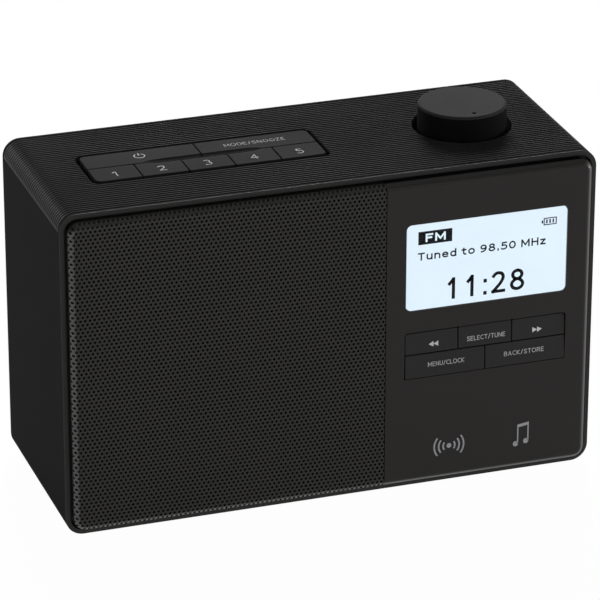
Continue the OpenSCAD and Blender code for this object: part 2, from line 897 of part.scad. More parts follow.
// Pressed frame: a flat flange, a flared wall with six windows, and the seat of the magnet
module speaker_basket() {
    t = 1;
    wall_top = speaker_hole_r + 0.6;
    wall_low = magnet_r - 2;
    color("#6d6f72") difference() {
        spun(speaker_x, y_speaker, z_mid) {
            translate([speaker_hole_r - 1.4, 0]) {
                square([speaker_r - speaker_hole_r + 1.4, speaker_flange_t]);
            }
            polygon([
                [wall_top - t - 0.4, 0], [wall_top - 0.2, 0],
                [wall_low, speaker_depth], [wall_low - t, speaker_depth]
            ]);
            translate([coil_r + 2, speaker_depth - t]) square([wall_low - coil_r - 2, t]);
        }
        speaker_screw_places() bar(0, y_speaker - over, y_speaker + speaker_flange_t + over, 0, through_r);
        for (a = [0 : 60 : 300]) translate([speaker_x, 0, z_mid]) rotate([0, a, 0]) {
            translate([-5, y_speaker + 5, 0]) cube([10, speaker_depth - 9, speaker_r]);
        }
    }
}

module speaker_magnet() {
    color("#4c4c50") spun(speaker_x, y_magnet, z_mid) difference() {
        union() {
            square([magnet_r - 2.5, 3]);
            translate([0, 3]) square([magnet_r, magnet_t - 5]);
            translate([0, magnet_t - 2]) square([magnet_r - 1.5, 2]);
        }
        translate([0, -over]) square([coil_r + 0.8, 3 + over]);
    }
}

module speaker_surround() {
    roll = (speaker_hole_r - cone_r - 2) / 2;
    mid = cone_r + 0.6 + roll;
    color("#262626") spun(speaker_x, y_speaker, z_mid) {
        difference() {
            translate([mid, 0]) circle(roll);
            translate([mid, 0]) circle(roll - 0.6);
            translate([0, 0]) square([speaker_r, roll + over]);
        }
        translate([mid + roll - 0.6, -0.5]) square([speaker_hole_r - 1.4 - mid - roll + 0.8, 0.5]);
        translate([cone_r - 1.4, -0.5]) square([2.4, 0.5]);
    }
}

module speaker_cone() {
    d = speaker_depth - 5;
    t = 0.6;
    color("#3b3b3b") spun(speaker_x, y_speaker, z_mid) {
        polygon([[cone_r - 1.4, 0], [cone_r + 0.4, 0], [coil_r + t, d], [coil_r, d], [coil_r, d - 1.2]]);
        translate([coil_r, d - 0.5]) square([t, 7]);
    }
}

module speaker_dust_cap() {
    rise = 3;
    ball = (coil_r * coil_r + rise * rise) / (2 * rise);
    y_seat = speaker_depth - 6.2;
    color("#2c2c2c") spun(speaker_x, y_speaker + y_seat, z_mid) intersection() {
        translate([0, ball - rise]) difference() {
            circle(ball, $fn = 96);
            circle(ball - 0.5, $fn = 96);
        }
        translate([0, -rise]) square([coil_r, rise]);
    }
}

// ---------------------------------------------------------------- top controls

module at_frame_posts() {
    for (x = frame_post_xs, sy = [-1, 1]) translate([x, y_mid + sy * frame_post_dy, 0]) children();
}

// Centre and width of each key: the two wide ones behind, the five presets in front
function preset_x(i) = top_keys_x + (i - 2) * (top_key_w + top_key_gap);
function wide_x(i) = top_keys_x + (i - 0.5) * (wide_key_w + top_key_gap);
front_row_y = y_mid - (top_row_d + top_key_gap) / 2;
back_row_y = y_mid + (top_row_d + top_key_gap) / 2;
top_key_places = [
    for (i = [0 : 4]) [preset_x(i), front_row_y, top_key_w],
    for (i = [0 : 1]) [wide_x(i), back_row_y, wide_key_w]
];

module control_frame() {
    x0 = top_keys_x - pocket_w / 2 - frame_margin;
    color("#1d1d1d") difference() {
        union() {
            translate([x0, y_mid - pocket_d / 2 - frame_margin, z_key_plate_low]) {
                cube([knob_x - well_r - x0, pocket_d + 2 * frame_margin, z_under - z_key_plate_low]);
            }
            translate([knob_x, y_mid, z_well - frame_t]) {
                cylinder(r = well_r + well_wall, h = z_under - z_well + frame_t, $fn = 96);
            }
            at_frame_posts() translate([0, 0, z_top_board]) {
                cylinder(r = post_r, h = z_key_plate_low - z_top_board + frame_t / 2);
            }
            at_bosses() translate([0, 0, -boss_h - press_gap]) {
                cylinder(r = collar_r, h = boss_h + press_gap);
            }
        }
        translate([top_keys_x, y_mid, z_key_plate]) linear_extrude(wall + over) {
            round_rect(pocket_w, pocket_d, pocket_r);
        }
        for (k = top_key_places) {
            translate([k[0], k[1], z_key_plate_low - over]) linear_extrude(frame_t + 2 * over) {
                square([k[2] - 2 * top_stem_in + 2 * key_fit, top_row_d - 2 * top_stem_in + 2 * key_fit],
                    center = true);
            }
        }
        translate([knob_x, y_mid, z_well]) cylinder(r = well_r, h = well_depth, $fn = 96);
        translate([knob_x, y_mid, z_well - frame_t - over]) {
            cylinder(r = bush_r + fit, h = frame_t + 2 * over);
        }
        at_bosses() translate([0, 0, -boss_h - over]) cylinder(r = boss_r + fit, h = boss_h + 2 * over);
        at_frame_posts() translate([0, 0, z_top_board - over]) cylinder(r = pilot_r, h = 6 + over);
    }
}

module top_board() {
    x0 = frame_post_xs[0] - 4;
    x1 = frame_post_xs[2] + 4;
    color("#1e5a3a") difference() {
        translate([x0, y_mid - frame_post_dy - 3.5, z_top_board - board_t]) {
            cube([x1 - x0, 2 * frame_post_dy + 7, board_t]);
        }
        at_frame_posts() translate([0, 0, z_top_board - board_t - over]) {
            cylinder(r = through_r, h = board_t + 2 * over);
        }
    }
}

module top_switches() {
    color("#8d8d8d") for (k = top_key_places) translate([k[0], k[1], z_top_board]) {
        translate([-switch_w / 2, -switch_w / 2, 0]) cube([switch_w, switch_w, switch_h]);
        cylinder(r = 1.6, h = switch_h + plunger_h);
    }
}

// Capsule that the finger scoop is cut with, along both rows
module scoop() {
    r = (scoop_w * scoop_w / 4 + scoop_depth * scoop_depth) / (2 * scoop_depth);
    run = scoop_len - scoop_w;
    translate([top_keys_x - run / 2, y_mid, z_top + top_key_up + r - scoop_depth]) {
        rotate([0, 90, 0]) cylinder(r = r, h = run, $fn = 96);
        for (x = [0, run]) translate([x, 0, 0]) sphere(r, $fn = 96);
    }
}

module top_key(k) {
    place = top_key_places[k];
    stem_w = place[2] - 2 * top_stem_in;
    stem_d = top_row_d - 2 * top_stem_in;
    z_cap = z_top + top_key_up - top_cap_t;
    z_lip = z_key_plate_low - press_gap;
    color("#3a3a39") {
        difference() {
            intersection() {
                translate([top_keys_x, y_mid, z_cap]) linear_extrude(top_cap_t) {
                    round_rect(top_keys_w, top_keys_d, top_keys_r);
                }
                translate([place[0] - place[2] / 2, place[1] - top_row_d / 2, z_cap]) {
                    cube([place[2], top_row_d, top_cap_t]);
                }
            }
            scoop();
        }
        translate([place[0] - stem_w / 2, place[1] - stem_d / 2, z_lip - top_lip_t]) {
            cube([stem_w, stem_d, z_cap - z_lip + top_lip_t + 0.4]);
        }
        translate([place[0] - stem_w / 2 - top_lip, place[1] - stem_d / 2, z_lip - top_lip_t]) {
            cube([stem_w + 2 * top_lip, stem_d, top_lip_t]);
        }
        translate([place[0], place[1], z_plunger + top_travel + press_gap]) {
            cylinder(r = 1.5, h = z_lip - z_plunger - top_travel);
        }
    }
}

module key_preset_1() { top_key(0); }
module key_preset_2() { top_key(1); }
module key_preset_3() { top_key(2); }
module key_preset_4() { top_key(3); }
module key_preset_5() { top_key(4); }
module key_power() { top_key(5); }
module key_snooze() { top_key(6); }

// ---------------------------------------------------------------- volume knob

module encoder_body() {
    color("#9a9a9a") translate([knob_x, y_mid, z_encoder]) difference() {
        union() {
            translate([-encoder_w / 2, -encoder_w / 2 - 0.6, 0]) {
                cube([encoder_w, encoder_w + 1.2, encoder_h]);
            }
            translate([0, 0, encoder_h - 0.5]) cylinder(r = bush_r, h = bush_h + 0.5);
        }
        translate([0, 0, encoder_h - 1.6]) cylinder(r = shaft_r + run_fit, h = bush_h + 3);
        translate([0, 0, 2]) cylinder(r = bush_r + 0.3, h = encoder_h - 3.4);
    }
}

module encoder_nut() {
    color("silver") translate([knob_x, y_mid, z_well]) difference() {
        cylinder(r = nut_r, h = nut_t, $fn = 6);
        translate([0, 0, -over]) cylinder(r = bush_r + run_fit, h = nut_t + 2 * over);
    }
}

// Shaft with the collar that keeps it in the encoder, and a flat that drives the knob
module encoder_shaft() {
    z_end = z_top + knob_up - knob_roof - 0.2;
    z_flat = z_encoder + encoder_h + bush_h + 0.3;
    color("#b4b4b4") difference() {
        union() {
            translate([knob_x, y_mid, z_encoder + 2.3]) cylinder(r = shaft_r, h = z_end - z_encoder - 2.3);
            translate([knob_x, y_mid, z_encoder + 2.3]) cylinder(r = bush_r, h = encoder_h - 4.1);
        }
        translate([knob_x + flat_x, y_mid - shaft_r, z_flat]) cube([shaft_r, 2 * shaft_r, knob_up]);
    }
}

module volume_knob() {
    z0 = z_well + knob_foot;
    z1 = z_top + knob_up;
    z_hub = z_encoder + encoder_h + bush_h + 0.4;
    color("#434343") translate([knob_x, y_mid, 0]) difference() {
        union() {
            difference() {
                translate([0, 0, z0]) rotate_extrude($fn = 120) {
                    square([knob_r, z1 - z0 - knob_edge_r]);
                    square([knob_r - knob_edge_r, z1 - z0]);
                    translate([knob_r - knob_edge_r, z1 - z0 - knob_edge_r]) intersection() {
                        circle(knob_edge_r);
                        square(knob_edge_r);
                    }
                }
                translate([0, 0, z0 - over]) {
                    cylinder(r = knob_r - knob_wall, h = z1 - knob_roof - z0 + over);
                }
            }
            translate([0, 0, z_hub]) cylinder(r = hub_r, h = z1 - knob_roof - z_hub + 0.5);
        }
        translate([0, 0, z_hub - over]) intersection() {
            cylinder(r = shaft_r + hub_fit, h = z1 - knob_roof - z_hub + over);
            translate([-2 * shaft_r, -2 * shaft_r, 0]) {
                cube([2 * shaft_r + flat_x + hub_fit, 4 * shaft_r, 2 * knob_up]);
            }
        }
        translate([0, -(knob_r - notch_in), z1 + notch_r / 3]) sphere(notch_r);
    }
}

// ---------------------------------------------------------------- back

// The cut for the battery door: its recess and the bay behind
module door_cut() {
    upright(y_rear_out - rear_t / 2, y_back) translate([door_x, door_z]) {
        round_rect(door_w + 2 * door_gap, door_h + 2 * door_gap, 2);
    }
    upright(y_rear_in - bay_d + rear_t, y_back) translate([door_x, door_z]) {
        square([door_w - 2 * door_lip, door_h - 2 * door_lip], center = true);
    }
}

module rear_cover() {
    color("#262626") difference() {
        union() {
            upright(y_rear_in, y_rear_out) translate([0, z_mid]) {
                round_rect(inner_w - 2 * fit, inner_h - 2 * fit, inner_r - fit);
            }
            upright(y_rear_in - bay_d + rear_t - bay_t, y_rear_in + 0.5) translate([door_x, door_z]) {
                square([door_w + 2 * (bay_t - door_lip), door_h + 2 * (bay_t - door_lip)], center = true);
            }
            at_main_posts() bar(0, y_main, y_rear_in + 0.5, 0, post_r);
            bar(door_screw_x, y_rear_in - 5, y_rear_in + 0.5, door_z, post_r);
            bar(aerial_x, y_rear_out - turret_lip_t - turret_seat, y_rear_in + 0.5, aerial_z, turret_r + 3);
            translate([rest_x - 2, y_rear_out - 1, aerial_z - aerial_d / 2 - 3]) {
                cube([4, y_aerial + aerial_d / 4 - y_rear_out + 1, 2.7]);
            }
        }
        door_cut();
        upright(y_rear_out - rear_t / 2, y_back) translate([door_screw_x, door_z]) {
            circle(post_r + 1.2 + door_gap);
            translate([-post_r - 3.6, -post_r - 1.2]) square([post_r + 3.6, 2 * post_r + 2.4]);
        }
        bar(door_screw_x, y_rear_in - 4, y_back, door_z, pilot_r);
        at_main_posts() bar(0, y_main - over, y_main + 6, 0, pilot_r);
        at_ties() bar(0, y_rear_in - over, y_back, 0, through_r);
        at_ties() bar(0, y_rear_out - tie_sink, y_back, 0, head_r + 0.5);
        bar(phone_x, y_rear_in - over, y_back, socket_z, nose_r + socket_fit);
        bar(dc_x, y_rear_in - over, y_back, socket_z, dc_nose_r + socket_fit);
        bar(aerial_x, y_main, y_back, aerial_z, turret_r + run_fit);
        bar(aerial_x, y_rear_out - turret_lip_t - 0.1, y_back, aerial_z, turret_r + turret_lip + run_fit);
    }
}

module battery_door() {
    color("#262626") difference() {
        upright(y_rear_out - rear_t / 2, y_rear_out) {
            translate([door_x, door_z]) round_rect(door_w, door_h, 2 - door_gap);
            translate([door_screw_x, door_z]) circle(post_r + 1.2);
            translate([door_screw_x - post_r - 2.6, door_z - post_r - 0.9]) {
                square([post_r + 2.6, 2 * post_r + 1.8]);
            }
        }
        bar(door_screw_x, y_rear_in, y_back, door_z, through_r);
        for (i = [-2 : 2]) translate([door_x - door_w / 2 + 10, 0, door_z + i * 3 - 0.6]) {
            translate([-5, y_rear_out - 0.4, 0]) cube([10, over, 1.2]);
        }
    }
}

// Two cells side by side in their sleeve, lying along X in the bay
module battery_pack() {
    y0 = y_rear_in - bay_d + rear_t;
    color("#3c6fa8") translate([door_x - cell_l / 2, y0 + cell_d / 2, door_z]) rotate([90, 0, 90]) {
        linear_extrude(cell_l) {
            for (s = [-1, 1]) translate([0, s * (cell_d / 2 + 0.1)]) circle(cell_d / 2);
            square([cell_d, cell_d], center = true);
        }
    }
}

// Places of the main board's four posts
module at_main_posts() {
    for (sx = [-1, 1], sz = [-1, 1]) {
        translate([main_x + sx * main_post_dx, 0, main_z + sz * main_post_dz]) children();
    }
}

module main_board() {
    color("#1e5a3a") difference() {
        upright(y_main - board_t, y_main) {
            translate([main_x, main_z]) square([main_w, main_h], center = true);
        }
        at_main_posts() bar(0, y_main - board_t - over, y_main + over, 0, through_r);
    }
}

module tuner_shield() {
    y1 = y_main - board_t;
    color("#c2c4c6") difference() {
        upright(y1 - shield_d, y1) translate([main_x, shield_z]) round_rect(shield_w, shield_h, 1);
        upright(y1 - shield_d + shield_t, y_main) translate([main_x, shield_z]) {
            square([shield_w - 2 * shield_t, shield_h - 2 * shield_t], center = true);
        }
    }
}

module capacitors() {
    y1 = y_main - board_t;
    color("#2a3350") for (i = [-1 : 1]) {
        x = main_x + i * capacitor_step;
        bar(x, y1 - capacitor_h, y1, capacitor_zs[0], capacitor_r);
        bar(x, y1 - 0.7 * capacitor_h, y1, capacitor_zs[1], 0.67 * capacitor_r);
    }
}

module headphone_socket() {
    color("#151515") difference() {
        union() {
            upright(y_main, y_rear_in) translate([phone_x, socket_z]) square(phone_body, center = true);
            bar(phone_x, y_rear_in - 0.5, y_rear_out, socket_z, nose_r);
        }
        bar(phone_x, y_main + 0.5, y_back, socket_z, phone_r);
    }
}

// Round power inlet with its centre contact
module dc_socket() {
    color("#151515") {
        difference() {
            union() {
                upright(y_main, y_rear_in) translate([dc_x, socket_z]) square(dc_body, center = true);
                bar(dc_x, y_rear_in - 0.5, y_rear_out, socket_z, dc_nose_r);
            }
            bar(dc_x, y_main + 2, y_back, socket_z, inlet_bore_r);
        }
        bar(dc_x, y_main + 1, y_rear_out - 1.5, socket_z, inlet_pin_r);
    }
}

// ---------------------------------------------------------------- leads

// A point of the curve that leaves p[0] towards p[1] and reaches p[3] from p[2]
function on_curve(p, t) = (1 - t) ^ 3 * p[0] + 3 * t * (1 - t) ^ 2 * p[1]
    + 3 * t ^ 2 * (1 - t) * p[2] + t ^ 3 * p[3];
function along_curve(p, t) = (1 - t) ^ 2 * (p[1] - p[0]) + 2 * t * (1 - t) * (p[2] - p[1])
    + t ^ 2 * (p[3] - p[2]);

// Round lead along that curve, level enough for its rings to stand upright
module lead(p) {
    rings = [for (i = [0 : lead_steps]) let (
        at = on_curve(p, i / lead_steps),
        way = along_curve(p, i / lead_steps) / norm(along_curve(p, i / lead_steps)),
        side = cross(way, [0, 0, 1]) / norm(cross(way, [0, 0, 1]))
    ) [for (a = [0 : 45 : 315]) at + lead_r * (cos(a) * side + sin(a) * cross(side, way))]];
    sides = [for (i = [0 : lead_steps - 1], k = [0 : 7]) let (a = 8 * i + k, b = 8 * i + (k + 1) % 8)
        each [[a, b, b + 8], [a, b + 8, a + 8]]];
    ends = [[for (k = [7 : -1 : 0]) k], [for (k = [0 : 7]) 8 * lead_steps + k]];
    polyhedron([for (ring = rings) each ring], concat(sides, ends));
}

// Connector on the main board's face that leads or a ribbon go into
module board_plug(x, z, w, h) {
    translate([x - w / 2, y_plug, z - h / 2]) cube([w, plug_d, h]);
}

// Pair of leads from the terminals on the speaker's flange to the main board
module speaker_leads() {
    x0 = speaker_x + (speaker_hole_r + speaker_r) / 2;
    y0 = y_speaker + speaker_flange_t;
    color("#1a1a1a") {
        translate([x0 - 2, y0, z_mid - 5]) cube([4, terminal_t, 10]);
        for (z = [z_mid - lead_pitch / 2, z_mid + lead_pitch / 2]) lead([
            [x0, y0 + terminal_t, z], [x0, y0 + terminal_t + lead_bow, z],
            [x_plug, y_plug - lead_bow, z], [x_plug, y_plug, z]
        ]);
        board_plug(x_plug, z_mid, 5, 8);
    }
}

// Pair of leads from the contacts beside the battery bay to the main board
module battery_leads() {
    x0 = door_x + door_w / 2 + bay_t - door_lip;
    y0 = (y_main + y_plug) / 2 + 1;
    color("#8c1f1f") {
        translate([x0, y0 - 3, door_z - 4]) cube([terminal_t, 6, 8]);
        for (z = [door_z - lead_pitch / 2, door_z + lead_pitch / 2]) lead([
            [x0 + terminal_t, y0, z], [x0 + terminal_t + lead_bow / 2, y0, z],
            [x_plug, y_plug - lead_bow / 2, z], [x_plug, y_plug, z]
        ]);
        board_plug(x_plug, door_z, 5, 8);
    }
}

// Flat flexible ribbon from the front board that hangs in a curve on its way to the main board
module front_ribbon() {
    y0 = y_front_board + board_t;
    y1 = y0 + plug_d;
    sag = 4 * ribbon_sag / (y_plug - y1) ^ 2;
    z0 = z_ribbon + 3;
    spine = [for (i = [0 : 24]) let (y = y1 + (y_plug - y1) * i / 24)
        [y, z0 + (z_ribbon - z0) * i / 24 - sag * (y - y1) * (y_plug - y)]];
    color("#d8d8d4") {
        translate([front_ribbon_x - ribbon_w / 2 - 1, y0, z0 - 2]) cube([ribbon_w + 2, plug_d, 4]);
        translate([front_ribbon_x - ribbon_w / 2, 0, 0]) rotate([90, 0, 90]) linear_extrude(ribbon_w) {
            polygon(concat(
                [for (p = spine) p + [0, ribbon_t / 2]],
                [for (i = [24 : -1 : 0]) spine[i] - [0, ribbon_t / 2]]
            ));
        }
        board_plug(front_ribbon_x, z_ribbon, ribbon_w + 2, 4);
    }
}

// Flat flexible ribbon that turns from under the top board into the main board
module top_ribbon() {
    z0 = z_top_board - board_t - plug_d;
    a = y_plug - y_mid;
    b = z0 - z_ribbon;
    color("#d8d8d4") {
        translate([top_ribbon_x - ribbon_w / 2 - 1, y_mid - 2, z0]) cube([ribbon_w + 2, 4, plug_d]);
        translate([top_ribbon_x - ribbon_w / 2, y_plug, z0]) rotate([90, 0, 90]) {
            linear_extrude(ribbon_w) polygon(concat(
                [for (i = [0 : 24]) ellipse_point(a + ribbon_t / 2, b + ribbon_t / 2, 180 + 90 * i / 24)],
                [for (i = [24 : -1 : 0])
                    ellipse_point(a - ribbon_t / 2, b - ribbon_t / 2, 180 + 90 * i / 24)]
            ));
        }
        board_plug(top_ribbon_x, z_ribbon, ribbon_w + 2, 4);
    }
}

function ellipse_point(a, b, turn) = [a * cos(turn), b * sin(turn)];

// ---------------------------------------------------------------- fasteners

// Pan-head screw with its head's seat at the origin, driven along +Y
module screw(l) {
    rotate([-90, 0, 0]) {
        difference() {
            translate([0, 0, -head_t]) cylinder(r = head_r, h = head_t);
            translate([0, 0, -head_t - 0.1]) linear_extrude(0.9) for (a = [0, 90]) rotate(a) {
                square([2.6, 0.6], center = true);
            }
        }
        translate([0, 0, -0.3]) cylinder(r = screw_r, h = l + 0.3);
    }
}

module rear_screws() {
    color("#8a8a8a") at_ties() {
        translate([0, y_rear_out - tie_sink, 0]) rotate([0, 0, 180]) screw(tie_screw_l);
    }
}

module inner_screws() {
    color("#8a8a8a") {
        speaker_screw_places() {
            translate([0, y_speaker + speaker_flange_t, 0]) rotate([0, 0, 180]) screw(4);
        }
        for (x = panel_post_xs, z = panel_post_zs) {
            translate([x, y_flange + flange_t, z]) rotate([0, 0, 180]) screw(6);
        }
        for (sx = [-1, 1], z = front_post_zs) {
            translate([controls_x + sx * front_post_dx, y_front_board + board_t, z]) {
                rotate([0, 0, 180]) screw(6);
            }
        }
        at_main_posts() translate([0, y_main - board_t, 0]) screw(6);
        at_frame_posts() translate([0, 0, z_top_board - board_t]) rotate([90, 0, 0]) screw(6);
        at_bosses() translate([0, 0, -boss_h - press_gap]) rotate([90, 0, 0]) screw(4);
        translate([door_screw_x, y_rear_out, door_z]) rotate([0, 0, 180]) screw(5);
    }
}

// ---------------------------------------------------------------- aerial

module aerial_turret() {
    y_lip = y_rear_out - turret_lip_t;
    y_in = y_rear_out - turret_lip_t - turret_seat - 0.1;
    color("#1f1f1f") difference() {
        union() {
            bar(aerial_x, y_in, y_rear_out, aerial_z, turret_r);
            bar(aerial_x, y_lip, y_rear_out, aerial_z, turret_r + turret_lip);
            for (s = [-1, 1]) translate([aerial_x, 0, aerial_z + s * (ear_gap + ear_t) / 2]) {
                translate([-fork_r, y_rear_out - 0.5, -ear_t / 2]) {
                    cube([2 * fork_r, y_aerial - y_rear_out + 0.5, ear_t]);
                }
                translate([0, y_aerial, -ear_t / 2]) cylinder(r = fork_r, h = ear_t);
            }
        }
        translate([aerial_x, y_aerial, aerial_z - 2 * fork_r]) cylinder(r = pin_r, h = 4 * fork_r);
        bar(aerial_x, y_in - over, y_in + 4, aerial_z, pilot_r);
    }
}

// Washer and screw that hold the turret in the rear cover from inside
module aerial_retainer() {
    y1 = y_rear_out - turret_lip_t - turret_seat - 0.1;
    color("silver") {
        bar(aerial_x, y1 - retainer_t, y1, aerial_z, turret_r + 2);
        bar(aerial_x, y1 - retainer_t - head_t, y1 - retainer_t / 2, aerial_z, head_r);
        bar(aerial_x, y1 - retainer_t, y1 + 3.5, aerial_z, screw_r);
    }
}

module aerial_pin() {
    l = ear_gap + 2 * ear_t;
    color("silver") translate([aerial_x, y_aerial, aerial_z - l / 2]) cylinder(r = pin_r, h = l);
}

module aerial_knuckle() {
    plug_r = tube_r[0] - tube_wall - run_fit;
    color("silver") translate([aerial_x, y_aerial, aerial_z]) difference() {
        union() {
            translate([0, 0, -tongue_t / 2]) cylinder(r = fork_r - 0.2, h = tongue_t);
            translate([-tube_start - 3, -tongue_w / 2, -tongue_t / 2]) {
                cube([tube_start + 3, tongue_w, tongue_t]);
            }
            translate([-tube_start, 0, 0]) rotate([0, -90, 0]) cylinder(r = plug_r, h = 6);
        }
        translate([0, 0, -tongue_t]) cylinder(r = pin_r + run_fit, h = 2 * tongue_t);
        translate([-tube_start, 0, 0]) rotate([0, -90, 0]) difference() {
            cylinder(r = 2 * aerial_d, h = 3.01);
            translate([0, 0, -over]) cylinder(r = plug_r, h = 8);
        }
    }
}

// One tube of the aerial, counted from the outside
module aerial_tube(i) {
    start = i == 0 ? tube_start : tube_start + 5.5 + i * tube_step;
    end = tube_start + aerial_len + i * tube_step;
    last = i == 4;
    color("#c8cacc") translate([aerial_x, y_aerial, aerial_z]) rotate([0, -90, 0]) {
        difference() {
            translate([0, 0, start]) cylinder(r = tube_r[i], h = end - start);
            if (!last) {
                translate([0, 0, start - over]) {
                    cylinder(r = tube_r[i] - tube_wall, h = end - start + 2 * over);
                }
            }
        }
        if (last) translate([0, 0, end]) {
            cylinder(r = tip_r, h = tip_l);
        }
    }
}

module aerial_tube_1() { aerial_tube(0); }
module aerial_tube_2() { aerial_tube(1); }
module aerial_tube_3() { aerial_tube(2); }
module aerial_tube_4() { aerial_tube(3); }
module aerial_tube_5() { aerial_tube(4); }

// ---------------------------------------------------------------- what is drawn

casing_sleeve();
rear_cover();
rear_screws();
feet();
front_baffle();
speaker_grille();
grille_cloth();
control_panel();
display_lens();
lcd_module();
front_board();
front_switches();
key_guide();
tab_key_pin();
key_previous();
key_select();
key_next();
key_menu();
key_back();
speaker_gasket();
speaker_basket();
speaker_surround();
speaker_cone();
speaker_dust_cap();
speaker_magnet();
control_frame();
top_board();
top_switches();
encoder_body();
encoder_nut();
encoder_shaft();
volume_knob();
key_power();
key_snooze();
key_preset_1();
key_preset_2();
key_preset_3();
key_preset_4();
key_preset_5();
main_board();
tuner_shield();
capacitors();
headphone_socket();
dc_socket();
front_ribbon();
top_ribbon();
speaker_leads();
battery_leads();
battery_pack();
battery_door();
inner_screws();
aerial_turret();
aerial_retainer();
aerial_pin();
aerial_knuckle();
aerial_tube_1();
aerial_tube_2();
aerial_tube_3();
aerial_tube_4();
aerial_tube_5();
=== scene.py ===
import json
import math
from functools import partialmethod
from types import SimpleNamespace

import bmesh
import bpy
from mathutils import Matrix, Vector

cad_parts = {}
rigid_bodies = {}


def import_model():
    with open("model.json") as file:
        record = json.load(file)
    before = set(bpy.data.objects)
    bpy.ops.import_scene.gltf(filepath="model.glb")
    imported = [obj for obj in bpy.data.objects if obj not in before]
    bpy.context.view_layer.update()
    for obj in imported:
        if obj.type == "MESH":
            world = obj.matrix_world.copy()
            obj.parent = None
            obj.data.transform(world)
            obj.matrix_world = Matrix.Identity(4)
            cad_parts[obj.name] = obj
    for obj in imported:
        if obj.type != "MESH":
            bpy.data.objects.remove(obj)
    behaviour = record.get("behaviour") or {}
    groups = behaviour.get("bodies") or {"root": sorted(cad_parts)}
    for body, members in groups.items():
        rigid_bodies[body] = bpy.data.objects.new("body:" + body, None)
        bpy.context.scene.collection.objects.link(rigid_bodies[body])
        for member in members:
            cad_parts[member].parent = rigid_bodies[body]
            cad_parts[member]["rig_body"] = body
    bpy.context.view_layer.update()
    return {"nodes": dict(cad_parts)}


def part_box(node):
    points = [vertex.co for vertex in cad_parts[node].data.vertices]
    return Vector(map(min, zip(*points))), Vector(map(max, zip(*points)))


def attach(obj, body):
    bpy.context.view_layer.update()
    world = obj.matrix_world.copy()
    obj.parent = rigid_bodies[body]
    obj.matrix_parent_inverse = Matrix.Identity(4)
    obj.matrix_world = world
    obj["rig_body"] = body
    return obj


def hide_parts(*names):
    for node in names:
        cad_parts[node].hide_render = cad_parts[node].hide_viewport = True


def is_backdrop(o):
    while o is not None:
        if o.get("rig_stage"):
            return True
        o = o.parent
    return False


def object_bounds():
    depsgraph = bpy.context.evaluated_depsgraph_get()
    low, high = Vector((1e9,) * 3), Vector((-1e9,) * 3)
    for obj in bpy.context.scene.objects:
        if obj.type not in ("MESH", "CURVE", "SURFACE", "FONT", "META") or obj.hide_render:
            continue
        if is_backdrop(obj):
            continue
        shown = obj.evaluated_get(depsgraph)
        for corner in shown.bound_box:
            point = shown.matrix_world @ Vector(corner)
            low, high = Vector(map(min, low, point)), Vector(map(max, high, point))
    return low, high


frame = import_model()

# ---------------------------------------------------------------- studio
# The radio stands on a pale floor in soft light, seen through a long lens from its left and a
# little above. Everything here is for the picture and isn't part of the radio.

VIEW_TURN = math.radians(-18.741)
VIEW_DROP = math.radians(23.847)
VIEW_ROLL = math.radians(0.0954)
VIEW_DISTANCE, VIEW_LENS = 1.55043, 242.46
VIEW_ASIDE, VIEW_ABOVE, VIEW_LIFT = 0.000588, 0.000378, 0.0000245
FLOOR_REACH = 6.0
FLOOR_GREY, FLOOR_WHITE = (0.86, 0.86, 0.86, 1), 0.98
SKY_TINT, SKY_LIGHT = (0.92, 0.96, 1.0, 1), 0.07
SKY_BANDS = ((0.15, 0.42, 1.0, 0.25), (0.72, 0.9, 0.0, 0.65))  # height from, to, glow from, to
LAMPS = (
    ("back_light", (0.72, 2.3, 1.25), 1.0, 120),
    ("low_back_light", (-1.0, 2.2, 0.75), 0.8, 26),
    ("front_light", (-0.3, -2.3, 0.6), 1.4, 15),
    ("right_light", (2.0, -0.4, 0.2), 0.8, 26),
    ("left_light", (-1.9, -1.0, 0.2), 0.5, 3),
)


def placed(name, data):
    """A new object with this mesh, lens or lamp, in the scene."""
    made = bpy.data.objects.new(name, data)
    bpy.context.scene.collection.objects.link(made)
    return made


forward = Vector((
    -math.sin(VIEW_TURN) * math.cos(VIEW_DROP),
    math.cos(VIEW_TURN) * math.cos(VIEW_DROP),
    -math.sin(VIEW_DROP),
))
level = forward.cross(Vector((0, 0, 1))).normalized()
upward = level.cross(forward)
right = level * math.cos(VIEW_ROLL) + upward * math.sin(VIEW_ROLL)
above = upward * math.cos(VIEW_ROLL) - level * math.sin(VIEW_ROLL)
case_lo, case_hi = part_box("casing_sleeve")
case_mid = (case_lo + case_hi) / 2
aim = Vector((0, case_mid.y, case_mid.z + VIEW_LIFT)) + right * VIEW_ASIDE + above * VIEW_ABOVE

lens = bpy.data.cameras.new("camera")
lens.lens, lens.sensor_width = VIEW_LENS, 36
lens.clip_start, lens.clip_end = 0.05, 50
camera = placed("camera", lens)
turn = Matrix((right, above, -forward)).transposed().to_4x4()
camera.matrix_world = Matrix.Translation(aim - forward * VIEW_DISTANCE) @ turn
bpy.context.scene.camera = camera
bpy.context.scene.view_settings.view_transform = "Standard"


def feed(socket, value):
    """Sets a node's socket to a plain value, or links another socket or an amount into it."""
    value = value.socket if isinstance(value, Amount) else value
    if isinstance(value, bpy.types.NodeSocket):
        socket.id_data.links.new(value, socket)
    else:
        socket.default_value = value


def add_node(tree, kind, inputs=(), **settings):
    """A new node with these settings, its sockets fed in order, or by name."""
    node = tree.nodes.new(kind)
    for name, value in settings.items():
        setattr(node, name, value)
    for key, value in inputs.items() if isinstance(inputs, dict) else enumerate(inputs):
        feed(node.inputs[key], value)
    return node


